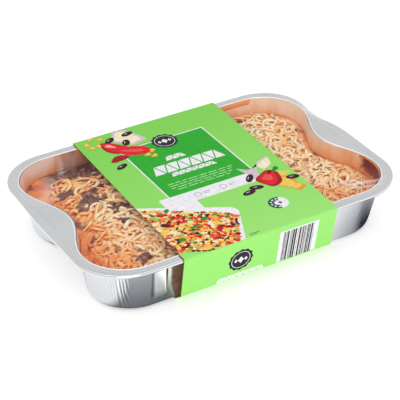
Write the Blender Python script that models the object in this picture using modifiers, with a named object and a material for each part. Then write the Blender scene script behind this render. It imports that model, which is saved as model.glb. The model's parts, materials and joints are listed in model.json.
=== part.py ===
"""Foil tray meal: a pinched aluminium tray of beef bake under grated cheese,
sealed with clear film and held in a card sleeve.

Metres, +Z up. The origin is under the middle of the sleeve, on the surface that it stands on.
X runs along the tray, and -Y is the side that shows its barcode panel.
"""
import math
import random

import bmesh
import bpy

MM = 0.001
GAP = 0.3 * MM

# Card sleeve, measured on its outer face
CARD = 0.45 * MM
SLEEVE_LENGTH = 130.0 * MM
SLEEVE_HEIGHT = 44.3 * MM
SLEEVE_TOP_HALF_WIDTH = 95.7 * MM
SLEEVE_FOLD_HALF_WIDTH = 88.0 * MM
SLEEVE_FOLD_HEIGHT = 7.3 * MM
SLEEVE_FLOOR_HALF_WIDTH = 78.5 * MM
SLEEVE_SKEW = 0.0244
FOLD_RADIUS = 0.7 * MM
FOLD_ANGLE = math.radians(20.0)

# Foil tray, measured on its inner face
FOIL = 0.4 * MM
TRAY_FLOOR = CARD + GAP + FOIL
RIM_HEIGHT = 43.0 * MM
OPENING_HALF_LENGTH = 125.5 * MM
OPENING_HALF_WIDTH = 86.2 * MM
OPENING_RADIUS = 34.4 * MM
PINCH_DEPTH = 15.3 * MM
WALL_TAPER = 6.5 * MM
FLOOR_RADIUS = 4.0 * MM
RADIUS_LOSS = 0.3
LIP_RADIUS = 1.2 * MM
FLOOR_CURVE_STEPS = 3

# Rim of the tray
RIM_HALF_LENGTH = 134.1 * MM
RIM_HALF_WIDTH = 94.0 * MM
RIM_RADIUS = 40.0 * MM
END_BULGE = 1.0 * MM
BEAD_HEIGHT = 2.7 * MM
BEAD_TUCK = 0.3 * MM
HANDLE_DROOP = 4.6 * MM
DROOP_CENTRE_Y = 42.0 * MM
DROOP_SPREAD = 24.0 * MM

# Clear film over the rim
FILM = 0.2 * MM
FILM_REACH = 0.72

# Food
FILL_HEIGHT = 27.6 * MM
MOUND_RISE = 5.6 * MM
MOUND_POWER = 4
BAKE_LUMP = 0.7 * MM
BAKE_PITCH = 21.0 * MM
CHEESE_THICKNESS = 2.4 * MM
CHEESE_EDGE = 0.9 * MM
CHEESE_EDGE_POWER = 6
CHEESE_LUMP = 1.0 * MM
CHEESE_PITCH = 13.0 * MM
LUMP_SKEW = 0.4
LONG_LUMP = 0.6
CHEESE_REACH = 0.93
BARE_CORNER = (-112.0 * MM, 78.0 * MM)
BARE_SPREAD = 30.0 * MM
BARE_SHARE = 0.2

# Grated cheese shreds
SHRED_SEED = 11
SHRED_COUNT = 122
SHRED_WIDTH = 2.4 * MM
SHRED_HEIGHT = 1.7 * MM
SHRED_LENGTHS = (19.0 * MM, 34.0 * MM)
SHRED_LIFTS = (0.15 * MM, 0.55 * MM)
SHRED_CUTS = 2
SHRED_TURN = 1.9
SHRED_SPACING = 5.2 * MM
WINDOW_OVERLAP = 4.0 * MM
SHRED_TRIES = 9000
SHRED_MARGIN = 0.985
WELD = 0.001 * MM

# Points round a ring, for each part of a rounded rectangle
SIDE_STEPS = 8
CORNER_STEPS = 8
END_STEPS = 12
TOP_RINGS = (0.97, 0.93, 0.86, 0.76, 0.62, 0.44, 0.22)

OBJECT_NAME = "foil_tray_meal"


def clear_scene():
    """Remove the objects that a new file starts with."""
    for item in list(bpy.data.objects):
        bpy.data.objects.remove(item, do_unlink=True)


def new_collection(name):
    """Make a collection in the scene."""
    collection = bpy.data.collections.new(name)
    bpy.context.scene.collection.children.link(collection)
    return collection


def make_material(name, colour, roughness, metallic=0.0):
    """Make a Principled material."""
    material = bpy.data.materials.new(name)
    material.use_nodes = True
    shader = material.node_tree.nodes["Principled BSDF"]
    shader.inputs["Base Color"].default_value = (*colour, 1.0)
    shader.inputs["Roughness"].default_value = roughness
    shader.inputs["Metallic"].default_value = metallic
    return material


def add_object(name, bm, collection, material):
    """Turn a bmesh into a named object."""
    mesh = bpy.data.meshes.new(name)
    bm.to_mesh(mesh)
    bm.free()
    mesh.materials.append(material)
    item = bpy.data.objects.new(name, mesh)
    collection.objects.link(item)
    return item


def pinch(y, half_span):
    """Share of the pinch depth at y, full in the middle of an end and none at its corners."""
    if abs(y) >= half_span:
        return 0.0
    return 0.5 + 0.5 * math.cos(math.pi * y / half_span)


def quarter_points(half_length, half_width, radius):
    """Points of a rounded rectangle's +X +Y quarter, from the middle of the end to that of the side."""
    centre_x = half_length - radius
    centre_y = half_width - radius
    half_end = END_STEPS // 2
    half_side = SIDE_STEPS // 2
    points = [(half_length, centre_y * step / half_end) for step in range(half_end)]
    for step in range(CORNER_STEPS + 1):
        angle = math.pi / 2 * step / CORNER_STEPS
        points.append((centre_x + radius * math.cos(angle), centre_y + radius * math.sin(angle)))
    points += [(centre_x * (1 - step / half_side), half_width) for step in range(1, half_side + 1)]
    return points


def ring_points(half_length, half_width, radius, pinch_depth):
    """Points round a rounded rectangle whose ends move in by pinch_depth in the middle."""
    half_span = half_width - radius
    quarter = [(x - pinch_depth * pinch(y, half_span), y)
               for x, y in quarter_points(half_length, half_width, radius)]
    back = [(-x, y) for x, y in reversed(quarter[:-1])]
    upper = quarter + back
    lower = [(x, -y) for x, y in reversed(upper[1:-1])]
    return upper + lower


def opening_ring(inset):
    """Ring of the tray's inner face, inset from the edge of its opening."""
    return ring_points(OPENING_HALF_LENGTH - inset, OPENING_HALF_WIDTH - inset,
                       OPENING_RADIUS - RADIUS_LOSS * inset, PINCH_DEPTH)


def rim_ring(inset=0.0):
    """Ring of the rim's outer edge."""
    return ring_points(RIM_HALF_LENGTH - inset, RIM_HALF_WIDTH - inset,
                       RIM_RADIUS - inset, -END_BULGE)


def wall_inset(z):
    """Inset of the sloping wall at height z."""
    foot = TRAY_FLOOR + FLOOR_RADIUS
    return WALL_TAPER * (RIM_HEIGHT - z) / (RIM_HEIGHT - foot)


def handle_droop(x, y):
    """How far the rim's outer edge is bent down at the +X handle."""
    if x < RIM_HALF_LENGTH - RIM_RADIUS:
        return 0.0
    return HANDLE_DROOP * math.exp(-((y - DROOP_CENTRE_Y) / DROOP_SPREAD) ** 2)


def blend(ring, other, share):
    """Ring part of the way from one ring to another."""
    return [(x + (u - x) * share, y + (v - y) * share) for (x, y), (u, v) in zip(ring, other)]


def flange_ring(share, drop=0.0):
    """Points of the flange's upper face, share of the way from the opening to the outer edge."""
    edge = rim_ring()
    flat = blend(opening_ring(0.0), edge, share)
    return [(x, y, RIM_HEIGHT - drop - share * handle_droop(*outer))
            for (x, y), outer in zip(flat, edge)]


def at_height(ring, z):
    """Ring of flat points at one height."""
    return [(x, y, z) for x, y in ring]


def add_ring(bm, points):
    """Add a ring of vertices."""
    return [bm.verts.new(point) for point in points]


def bridge(bm, lower, upper):
    """Join two rings of as many points with triangles, split alike on every pair of rings."""
    count = len(lower)
    for index in range(count):
        after = (index + 1) % count
        bm.faces.new((lower[index], lower[after], upper[after]))
        bm.faces.new((lower[index], upper[after], upper[index]))


def loft(bm, rings):
    """Join rings of points one after another, and return the first and last rings of vertices."""
    made = [add_ring(bm, ring) for ring in rings]
    for lower, upper in zip(made, made[1:]):
        bridge(bm, lower, upper)
    return made[0], made[-1]


def outward(bm):
    """Turn a closed body's faces outward."""
    bmesh.ops.recalc_face_normals(bm, faces=bm.faces)


def face_outward(bm):
    """Turn an open band round the X axis so that its faces look away from the middle."""
    bmesh.ops.recalc_face_normals(bm, faces=bm.faces)
    top = max(bm.faces, key=lambda face: face.calc_center_median().z)
    if top.normal.z < 0:
        bmesh.ops.reverse_faces(bm, faces=bm.faces)


def face_up(bm, level_face):
    """Turn an open surface so that its level face looks up."""
    bmesh.ops.recalc_face_normals(bm, faces=bm.faces)
    if level_face.normal.z < 0:
        bmesh.ops.reverse_faces(bm, faces=bm.faces)


def thicken(item, thickness):
    """Give an open surface its thickness, on the side that its faces look away from."""
    modifier = item.modifiers.new("Thickness", "SOLIDIFY")
    modifier.thickness = thickness
    modifier.offset = -1.0
    modifier.use_even_offset = True


def body_rings(gap):
    """Rings of the tray's cavity up to the fill height, moved in by gap: floor, curve and wall."""
    rings = []
    for step in range(FLOOR_CURVE_STEPS + 1):
        angle = math.pi / 2 * step / FLOOR_CURVE_STEPS
        inset = WALL_TAPER + FLOOR_RADIUS * (1 - math.sin(angle)) + gap
        z = TRAY_FLOOR + FLOOR_RADIUS * (1 - math.cos(angle)) + gap * math.cos(angle)
        rings.append(at_height(opening_ring(inset), z))
    return rings


def build_tray(collection, material):
    """Smooth-walled tray: floor, curved foot, sloping wall, flat flange and turned-down bead."""
    bm = bmesh.new()
    rings = body_rings(0.0)
    lip = RIM_HEIGHT - LIP_RADIUS
    rings.append(at_height(opening_ring(wall_inset(lip)), lip))
    rings += [flange_ring(share) for share in (0.0, FILM_REACH, 1.0)]
    bead = [(x, y, z - BEAD_HEIGHT) for (x, y), (u, v, z) in zip(rim_ring(BEAD_TUCK), rings[-1])]
    rings.append(bead)
    floor = loft(bm, rings)[0]
    face_up(bm, bm.faces.new(floor))
    tray = add_object("foil_tray", bm, collection, material)
    thicken(tray, FOIL)
    return tray


def lumps(x, y, pitch, height):
    """Smooth uneven relief: short skewed waves over longer ones."""
    wave = 2 * math.pi / pitch
    short = math.sin(wave * (x + LUMP_SKEW * y)) * math.cos(wave * (y - LUMP_SKEW * x))
    long = math.sin(LONG_LUMP * wave * (y - LUMP_SKEW * x))
    return height * (short + long) / 2


def bake_height(x, y, share):
    """Top of the bake at a point that lies share of the way out to the wall."""
    mound = MOUND_RISE * (1 - share ** MOUND_POWER)
    return FILL_HEIGHT + mound + lumps(x, y, BAKE_PITCH, BAKE_LUMP) * (1 - share)


def cheese_reach(x, y):
    """Share of the way out to the wall that the cheese reaches, least in the bare corner."""
    corner_x, corner_y = BARE_CORNER
    distance = math.hypot(x - corner_x, y - corner_y) / BARE_SPREAD
    return CHEESE_REACH - BARE_SHARE * math.exp(-distance ** 2)


def fill_ring():
    """Ring of the bake's upper edge."""
    return opening_ring(wall_inset(FILL_HEIGHT) + GAP)


def food_ring(share, height):
    """Ring of food points, share of the way out, under a height function of x, y and share."""
    return [(x * share, y * share, height(x * share, y * share, share)) for x, y in fill_ring()]


def build_bake(collection, material):
    """Beef and sauce filling, mounded in the middle."""
    bm = bmesh.new()
    rings = body_rings(GAP)
    rings.append(at_height(fill_ring(), FILL_HEIGHT))
    rings += [food_ring(share, bake_height) for share in TOP_RINGS]
    floor, crown = loft(bm, rings)
    bm.faces.new(floor)
    bmesh.ops.poke(bm, faces=[bm.faces.new(crown)])
    outward(bm)
    return add_object("beef_bake", bm, collection, material)


def cheese_ring(share, height):
    """Ring of cheese points, share of the way out to the edge of the cheese."""
    points = []
    for x, y in fill_ring():
        out = share * cheese_reach(x, y)
        points.append((x * out, y * out, height(x * out, y * out, out, share)))
    return points


def cheese_base(x, y, out, share):
    """Underside of the cheese, clear of the bake."""
    return bake_height(x, y, out) + 2 * GAP


def cheese_top(x, y, out, share):
    """Top of the cheese core, thin at its edge."""
    full = CHEESE_THICKNESS + lumps(x, y, CHEESE_PITCH, CHEESE_LUMP)
    rise = (full - CHEESE_EDGE) * (1 - share ** CHEESE_EDGE_POWER)
    return cheese_base(x, y, out, share) + CHEESE_EDGE + rise


def cheese_share(x, y):
    """Where a point lies between the middle and the edge of the cheese, and the wall's share of it."""
    angle = math.atan2(y, x)
    ring = fill_ring()
    u, v = min(ring, key=lambda point: abs(math.remainder(math.atan2(point[1], point[0]) - angle,
                                                          2 * math.pi)))
    out = math.hypot(x, y) / math.hypot(u, v)
    return out / cheese_reach(u, v), out


def build_cheese_core(collection, material):
    """Cheese layer that the shreds are fused to."""
    bm = bmesh.new()
    shares = (1.0,) + TOP_RINGS
    top = [cheese_ring(share, cheese_top) for share in shares]
    base = [cheese_ring(share, cheese_base) for share in reversed(shares)]
    lowest, highest = loft(bm, base + top)
    bmesh.ops.poke(bm, faces=[bm.faces.new(highest)])
    bmesh.ops.poke(bm, faces=[bm.faces.new(lowest)])
    outward(bm)
    return add_object("grated_cheese", bm, collection, material)


def shred_places(rng):
    """Seeded places of the shreds in the two windows beside the sleeve, kept apart from each other."""
    places = []
    window = SLEEVE_LENGTH / 2 - WINDOW_OVERLAP
    for attempt in range(SHRED_TRIES):
        x = rng.uniform(window, OPENING_HALF_LENGTH) * rng.choice((-1, 1))
        y = rng.uniform(-OPENING_HALF_WIDTH, OPENING_HALF_WIDTH)
        apart = all(math.hypot(x - u, y - v) > SHRED_SPACING for u, v in places)
        if apart and cheese_share(x, y)[0] < 1.0:
            places.append((x, y))
        if len(places) == SHRED_COUNT:
            break
    return places


def shred_path(x, y, heading, length, turn):
    """Points along a bent shred whose middle is near x, y."""
    steps = SHRED_CUTS + 1
    stride = length / steps
    angles = [heading + turn * ((index + 0.5) / steps - 0.5) for index in range(steps)]
    walk = [(stride * math.cos(angle), stride * math.sin(angle)) for angle in angles]
    path = [(x - sum(u for u, v in walk) / 2, y - sum(v for u, v in walk) / 2)]
    for u, v in walk:
        path.append((path[-1][0] + u, path[-1][1] + v))
    return path


def path_sides(path):
    """Unit vectors across a path at each of its points."""
    sides = []
    for index in range(len(path)):
        x0, y0 = path[max(index - 1, 0)]
        x1, y1 = path[min(index + 1, len(path) - 1)]
        size = math.hypot(x1 - x0, y1 - y0)
        sides.append((-(y1 - y0) / size, (x1 - x0) / size))
    return sides


def build_shred(path, lift, collection, material):
    """One bent strip of cheese, half sunk into the core along its path."""
    steps = SHRED_CUTS + 1
    bm = bmesh.new()
    bmesh.ops.create_cube(bm, size=1.0)
    for cut in range(1, steps):
        everything = bm.verts[:] + bm.edges[:] + bm.faces[:]
        bmesh.ops.bisect_plane(bm, geom=everything, plane_co=(cut / steps - 0.5, 0, 0),
                               plane_no=(1, 0, 0))
    sides = path_sides(path)
    for vert in bm.verts:
        index = round((vert.co.x + 0.5) * steps)
        x, y = path[index]
        side_x, side_y = sides[index]
        share, out = cheese_share(x, y)
        z = cheese_top(x, y, out, share) + lift + vert.co.z * SHRED_HEIGHT
        across = vert.co.y * SHRED_WIDTH
        vert.co = (x + side_x * across, y + side_y * across, z)
    return add_object("shred", bm, collection, material)


def build_shreds(collection, material):
    """All the shreds that stay on the cheese from end to end."""
    rng = random.Random(SHRED_SEED)
    for x, y in shred_places(rng):
        heading = rng.uniform(0, 2 * math.pi)
        length = rng.uniform(*SHRED_LENGTHS)
        turn = rng.uniform(-SHRED_TURN, SHRED_TURN)
        lift = rng.uniform(*SHRED_LIFTS)
        path = shred_path(x, y, heading, length, turn)
        if max(cheese_share(u, v)[0] for u, v in path) < SHRED_MARGIN:
            build_shred(path, lift, collection, material)


def islands(bm):
    """Groups of faces that are joined by edges."""
    left = set(bm.faces)
    groups = []
    while left:
        front = [left.pop()]
        group = set(front)
        while front:
            face = front.pop()
            near = {other for edge in face.edges for other in edge.link_faces} & left
            left -= near
            group |= near
            front.extend(near)
        groups.append(group)
    return groups


def keep_largest(bm):
    """Keep the body with the most faces, which drops scraps and fills sealed hollows."""
    groups = sorted(islands(bm), key=len)
    for group in groups[:-1]:
        bmesh.ops.delete(bm, geom=list(group), context="FACES")


def fuse(item, collection):
    """Join a collection's objects to an object, and remove them."""
    modifier = item.modifiers.new("Fuse", "BOOLEAN")
    modifier.operation = "UNION"
    modifier.operand_type = "COLLECTION"
    modifier.collection = collection
    modifier.solver = "MANIFOLD"
    view = bpy.context.evaluated_depsgraph_get()
    mesh = bpy.data.meshes.new_from_object(item.evaluated_get(view))
    item.modifiers.remove(modifier)
    bm = bmesh.new()
    bm.from_mesh(mesh)
    bmesh.ops.remove_doubles(bm, verts=bm.verts, dist=WELD)
    keep_largest(bm)
    bm.to_mesh(item.data)
    bm.free()
    bpy.data.meshes.remove(mesh)
    for other in list(collection.objects):
        bpy.data.objects.remove(other, do_unlink=True)
    bpy.data.collections.remove(collection)


def build_film(collection, material):
    """Clear film sealed to the flange and stretched flat over the opening."""
    bm = bmesh.new()
    lift = -(GAP + FILM)
    opening = loft(bm, [flange_ring(0.0, lift), flange_ring(FILM_REACH, lift)])[0]
    face_up(bm, bm.faces.new(opening))
    film = add_object("lidding_film", bm, collection, material)
    thicken(film, FILM)
    return film


def sleeve_section():
    """Outer corners of the sleeve, seen along the tray: top, sloping sides, folds and floor."""
    half = [
        (SLEEVE_TOP_HALF_WIDTH, SLEEVE_HEIGHT),
        (SLEEVE_FOLD_HALF_WIDTH, SLEEVE_FOLD_HEIGHT),
        (SLEEVE_FLOOR_HALF_WIDTH, 0.0),
    ]
    return half + [(-y, z) for y, z in reversed(half)]


def build_sleeve(collection, material):
    """Card band that wraps round the middle of the tray."""
    bm = bmesh.new()
    end = SLEEVE_LENGTH / 2
    section = [bm.verts.new((-end, y, z)) for y, z in sleeve_section()]
    edges = [bm.edges.new((section[index - 1], vert)) for index, vert in enumerate(section)]
    swept = bmesh.ops.extrude_edge_only(bm, edges=edges)["geom"]
    moved = [item for item in swept if isinstance(item, bmesh.types.BMVert)]
    bmesh.ops.translate(bm, verts=moved, vec=(SLEEVE_LENGTH, 0, 0))
    for vert in bm.verts:
        vert.co.x += SLEEVE_SKEW * vert.co.y
    face_outward(bm)
    sleeve = add_object("carton_sleeve", bm, collection, material)
    rounding = sleeve.modifiers.new("Folds", "BEVEL")
    rounding.width = FOLD_RADIUS
    rounding.segments = 2
    rounding.limit_method = "ANGLE"
    rounding.angle_limit = FOLD_ANGLE
    thicken(sleeve, CARD)
    return sleeve


def main():
    """Build the meal."""
    clear_scene()
    parts = new_collection(OBJECT_NAME)
    shreds = new_collection("shreds")
    foil = make_material("satin_foil", (0.80, 0.81, 0.83), 0.32, 1.0)
    beef = make_material("beef_sauce", (0.42, 0.15, 0.06), 0.5)
    cheese = make_material("grated_cheese", (0.86, 0.60, 0.31), 0.55)
    film = make_material("clear_film", (0.92, 0.93, 0.95), 0.12)
    card = make_material("green_card", (0.32, 0.80, 0.16), 0.45)
    build_tray(parts, foil)
    build_bake(parts, beef)
    core = build_cheese_core(parts, cheese)
    build_shreds(shreds, cheese)
    fuse(core, shreds)
    build_film(parts, film)
    build_sleeve(parts, card)


main()
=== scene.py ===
"""Looks of a foil tray meal: foil tray, beef filling, grated cheese, clear film and printed card sleeve.

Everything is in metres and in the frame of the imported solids: X along the tray, +Z up, and the
origin on the surface under the middle of the sleeve. Sizes follow the solids' named values.
"""
from __future__ import annotations

import json
import logging
import math
import random
from dataclasses import dataclass, field
from enum import Enum
from typing import Callable, Iterable, Sequence

import bmesh
import bpy
import numpy as np
from mathutils import Matrix, Vector, noise

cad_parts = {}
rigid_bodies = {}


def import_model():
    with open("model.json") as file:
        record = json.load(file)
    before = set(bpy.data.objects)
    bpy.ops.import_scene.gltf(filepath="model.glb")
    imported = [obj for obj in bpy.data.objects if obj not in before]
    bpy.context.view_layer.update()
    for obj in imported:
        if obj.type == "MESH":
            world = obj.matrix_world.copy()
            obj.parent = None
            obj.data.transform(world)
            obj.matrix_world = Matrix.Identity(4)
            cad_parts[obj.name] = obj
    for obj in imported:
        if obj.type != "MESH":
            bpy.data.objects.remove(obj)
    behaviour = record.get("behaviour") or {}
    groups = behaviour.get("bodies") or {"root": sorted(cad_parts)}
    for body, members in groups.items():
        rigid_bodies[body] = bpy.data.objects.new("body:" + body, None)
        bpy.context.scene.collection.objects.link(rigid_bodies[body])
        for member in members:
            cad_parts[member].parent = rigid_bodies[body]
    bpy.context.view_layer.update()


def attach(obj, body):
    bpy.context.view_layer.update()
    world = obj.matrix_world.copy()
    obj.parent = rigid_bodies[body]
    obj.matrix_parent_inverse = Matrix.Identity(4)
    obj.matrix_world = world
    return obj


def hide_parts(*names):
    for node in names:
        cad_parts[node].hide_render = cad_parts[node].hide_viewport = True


LOG = logging.getLogger("foil_tray_meal")
BODY = "root"
MM = 0.001
TURN = 2 * math.pi

Colour = tuple[float, float, float, float]
WHITE: Colour = (1.0, 1.0, 1.0, 1.0)
BLACK: Colour = (0.0, 0.0, 0.0, 1.0)
Outline = list[tuple[float, float]]
Ring = np.ndarray


def srgb(red: int, green: int, blue: int) -> Colour:
    """Linear colour, with an alpha of 1, of an 8-bit display colour."""
    linear = [channel / 255 / 12.92 if channel <= 10 else ((channel / 255 + 0.055) / 1.055) ** 2.4
              for channel in (red, green, blue)]
    return (linear[0], linear[1], linear[2], 1.0)


class Slot(Enum):
    """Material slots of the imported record."""

    FOIL = "satin_foil"
    FILLING = "beef_sauce"
    CHEESE = "grated_cheese"
    FILM = "clear_film"
    CARD = "green_card"


class Ink(Enum):
    """Colours of the sleeve's print."""

    DEEP_GREEN = srgb(40, 174, 42)
    WHITE = srgb(243, 241, 245)
    CHARCOAL = srgb(38, 38, 42)
    RED = srgb(228, 22, 40)
    DEEP_RED = srgb(164, 12, 32)
    PINK = srgb(246, 168, 158)
    YELLOW = srgb(246, 206, 92)
    AMBER = srgb(238, 160, 52)
    CREAM = srgb(247, 236, 200)
    LILAC = srgb(214, 196, 206)
    BEAN = srgb(52, 14, 30)
    LEAF = srgb(30, 138, 52)
    PINE = srgb(22, 84, 74)
    GREY = srgb(150, 152, 158)
    PALE_GREEN = srgb(176, 226, 160)
    # Painted highlight along the near fold of the top panel.
    FOLD = srgb(182, 240, 146)
    CORAL = srgb(240, 84, 76)
    SAUCE = srgb(214, 110, 56)


class NodeGraph:
    """Adds and joins the nodes of one node tree."""

    def __init__(self, tree: bpy.types.NodeTree) -> None:
        """Hold the tree that the nodes go in."""
        self.tree = tree

    def add(self, kind: str, inputs: dict | None = None, **settings: object) -> bpy.types.Node:
        """Add a node.

        Args:
            kind: Blender's type name of the node.
            inputs: Values or sockets for its inputs, by name or place.
            settings: Values for its properties.

        Returns:
            The new node.
        """
        node = self.tree.nodes.new(kind)
        for name, value in settings.items():
            setattr(node, name, value)
        for key, value in (inputs or {}).items():
            self.feed(node.inputs[key], value)
        return node

    def feed(self, socket: bpy.types.NodeSocket, value: object) -> None:
        """Give an input a value, or link it to an output.

        Args:
            socket: Input to fill.
            value: Plain value or output socket.
        """
        if isinstance(value, bpy.types.NodeSocket):
            self.tree.links.new(value, socket)
        else:
            socket.default_value = value

    def ramp(self, factor: bpy.types.NodeSocket, stops: Sequence[tuple[float, Colour]],
             stepped: bool = False) -> bpy.types.NodeSocket:
        """Map a factor to colours.

        Args:
            factor: Output that gives the factor.
            stops: Position and colour of each stop.
            stepped: True for flat steps between the stops.

        Returns:
            The colour output.
        """
        node = self.add("ShaderNodeValToRGB", {"Fac": factor})
        ramp = node.color_ramp
        ramp.interpolation = "CONSTANT" if stepped else "LINEAR"
        while len(ramp.elements) < len(stops):
            ramp.elements.new(1.0)
        for element, (position, colour) in zip(ramp.elements, stops):
            element.position = position
            element.color = colour
        return node.outputs["Color"]

    def mix(self, share: object, first: object, second: object) -> bpy.types.NodeSocket:
        """Mix two colours by the second one's share."""
        return self.add("ShaderNodeMix", {0: share, 6: first, 7: second}, data_type="RGBA").outputs[2]

    def math(self, operation: str, *values: object) -> bpy.types.NodeSocket:
        """Work out a number by the operation of Blender's that has this name."""
        return self.add("ShaderNodeMath", dict(enumerate(values)), operation=operation).outputs[0]

    def vector(self, operation: str, *values: object) -> bpy.types.NodeSocket:
        """Work out a vector by the operation of Blender's that has this name."""
        return self.add("ShaderNodeVectorMath", dict(enumerate(values)), operation=operation).outputs[0]

    def axes(self, vector: bpy.types.NodeSocket) -> bpy.types.NodeOutputs:
        """Split a vector into its X, Y and Z."""
        return self.add("ShaderNodeSeparateXYZ", {0: vector}).outputs

    def combine(self, x: object, y: object, z: object) -> bpy.types.NodeSocket:
        """Join three numbers into a vector."""
        return self.add("ShaderNodeCombineXYZ", {0: x, 1: y, 2: z}).outputs[0]

    def spread(self, value: object, low: object, high: object, start: float = 0.0,
               end: float = 1.0) -> bpy.types.NodeSocket:
        """Map a number that runs from low to high so that it runs from start to end."""
        return self.add("ShaderNodeMapRange", {"Value": value, "From Min": low, "From Max": high,
                                               "To Min": start, "To Max": end}).outputs["Result"]

    def place(self) -> bpy.types.NodeSocket:
        """Place of the shaded point in the object's own space."""
        return self.add("ShaderNodeTexCoord").outputs["Object"]

    def attribute(self, name: str) -> bpy.types.NodeSocket:
        """Number that the piece stores under a name."""
        return self.add("ShaderNodeAttribute", attribute_name=name).outputs["Fac"]

    def uneven(self, scale: float, **more: object) -> bpy.types.NodeSocket:
        """Mask of the shared patches, with more of its inputs by name."""
        return self.add("ShaderNodeGroup", {"Scale": scale, **more}, node_tree=uneven_group()).outputs["Mask"]

    def relief(self, scale: float, depth: float, **more: object) -> bpy.types.NodeSocket:
        """Normal of the shared relief, with more of its inputs by name."""
        inputs = {"Scale": scale, "Depth": depth, **more}
        return self.add("ShaderNodeGroup", inputs, node_tree=relief_group()).outputs["Normal"]


class Surface(NodeGraph):
    """Graph of a new material with one Principled shader."""

    def __init__(self, name: str) -> None:
        """Make the material under its name."""
        self.material = bpy.data.materials.new(name)
        self.material.use_nodes = True
        super().__init__(self.material.node_tree)

    def finish(self, values: dict) -> bpy.types.Material:
        """Fill the shader's inputs by name, with values or output sockets."""
        for name, value in values.items():
            self.feed(self.tree.nodes["Principled BSDF"].inputs[name], value)
        return self.material

    def varnish(self, colour: object) -> bpy.types.Material:
        """Finish as varnished card of a printed colour."""
        return self.finish({"Base Color": colour, "Roughness": 0.5, "Specular IOR Level": 0.14,
                            "Normal": self.relief(900.0, 0.02 * MM)})


def add_sockets(tree: bpy.types.NodeTree, inputs: dict[str, object], output: str, kind: str) -> None:
    """Declare a tree's inputs and its output.

    Args:
        tree: Tree to change.
        inputs: Default value of each input by name, or its kind as a word where it has none.
        output: Name of the output.
        kind: Kind of the output.
    """
    kinds = {float: "Float", int: "Int", tuple: "Vector"}
    for name, given in inputs.items():
        own = "NodeSocket" + kinds.get(type(given), str(given))
        socket = tree.interface.new_socket(name=name, in_out="INPUT", socket_type=own)
        if type(given) in kinds:
            socket.default_value = given
    tree.interface.new_socket(name=output, in_out="OUTPUT", socket_type="NodeSocket" + kind)


def noise_group(name: str, own: dict[str, float], output: tuple[str, str],
                **grain: float) -> tuple[NodeGraph, bpy.types.NodeOutputs, bpy.types.NodeSocket]:
    """Start a shared shader group on stretched noise in the object's own space.

    Args:
        name: Group's name.
        own: Default values of its own inputs by name.
        output: Name and kind of its output.
        grain: Inputs of the noise by name.

    Returns:
        The group's graph, its inputs and the noise.
    """
    graph = NodeGraph(bpy.data.node_groups.new(name, "ShaderNodeTree"))
    add_sockets(graph.tree, {"Scale": 100.0, "Stretch": (1.0, 1.0, 1.0), **own}, *output)
    given = graph.add("NodeGroupInput").outputs
    place = graph.vector("MULTIPLY", graph.place(), given["Stretch"])
    pattern = graph.add("ShaderNodeTexNoise", {"Vector": place, "Scale": given["Scale"], **grain})
    return graph, given, pattern.outputs["Fac"]


def uneven_group() -> bpy.types.NodeTree:
    """Shared shader group: soft patches from 0 to 1, as of stain, gloss or tone.

    Returns:
        The node group.
    """
    if "uneven" not in bpy.data.node_groups:
        graph, given, pattern = noise_group("uneven", {"Low": 0.35, "High": 0.65}, ("Mask", "Float"),
                                            Detail=4.0, Roughness=0.55)
        graph.add("NodeGroupOutput", {"Mask": graph.spread(pattern, given["Low"], given["High"])})
    return bpy.data.node_groups["uneven"]


def relief_group() -> bpy.types.NodeTree:
    """Shared shader group: fine surface relief as a normal.

    Returns:
        The node group.
    """
    if "relief" not in bpy.data.node_groups:
        graph, given, pattern = noise_group("relief", {"Depth": 0.1 * MM}, ("Normal", "Vector"), Detail=3.0)
        bump = graph.add("ShaderNodeBump", {"Height": pattern, "Distance": given["Depth"]})
        graph.add("NodeGroupOutput", {"Normal": bump.outputs["Normal"]})
    return bpy.data.node_groups["relief"]


@dataclass(frozen=True)
class FoilFinish:
    """Rolled aluminium foil with soft dents and, unless switched off, a painted highlight on wrinkle crests
    and painted shade in their hollows.
    """

    name: str = "satin_foil"
    colour: Colour = srgb(222, 223, 225)
    shade: Colour = srgb(214, 216, 219)
    gloss_low: float = 0.10
    gloss_high: float = 0.17
    dent_scale: float = 28.0
    dent_depth: float = 0.22 * MM
    # Colour of the painted shade in wrinkle hollows and along the lug's edges.
    groove: Colour = srgb(120, 128, 140)
    folded: bool = True

    def build(self) -> bpy.types.Material:
        """Build the material."""
        graph = Surface(self.name)
        wear = graph.uneven(120.0, Stretch=(1.0, 1.0, 0.3))
        sheet = graph.mix(graph.uneven(30.0), self.colour, self.shade)
        if self.folded:
            fold = graph.attribute("fold")
            # Painted highlight: wrinkle crests and the lug's face are mixed towards white.
            sheet = graph.mix(graph.spread(fold, 0.5, 0.8), sheet, WHITE)
            # Painted shade: wrinkle hollows and the lug's edges are mixed towards a dark grey-blue.
            sheet = graph.mix(graph.spread(fold, 0.5, 0.15, end=0.75), sheet, self.groove)
        return graph.finish({
            "Base Color": sheet,
            "Metallic": 1.0,
            "Roughness": graph.math("MULTIPLY_ADD", wear, self.gloss_high - self.gloss_low, self.gloss_low),
            "Normal": graph.relief(self.dent_scale, self.dent_depth),
        })


@dataclass(frozen=True)
class PrintFinish:
    """One printed colour, slightly uneven."""

    name: str
    colour: Colour
    depth: float = 0.86

    def build(self) -> bpy.types.Material:
        """Build the material."""
        graph = Surface(self.name)
        red, green, blue, alpha = self.colour
        darker = (red * self.depth, green * self.depth, blue * self.depth, alpha)
        return graph.varnish(graph.mix(graph.uneven(300.0), self.colour, darker))


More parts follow.
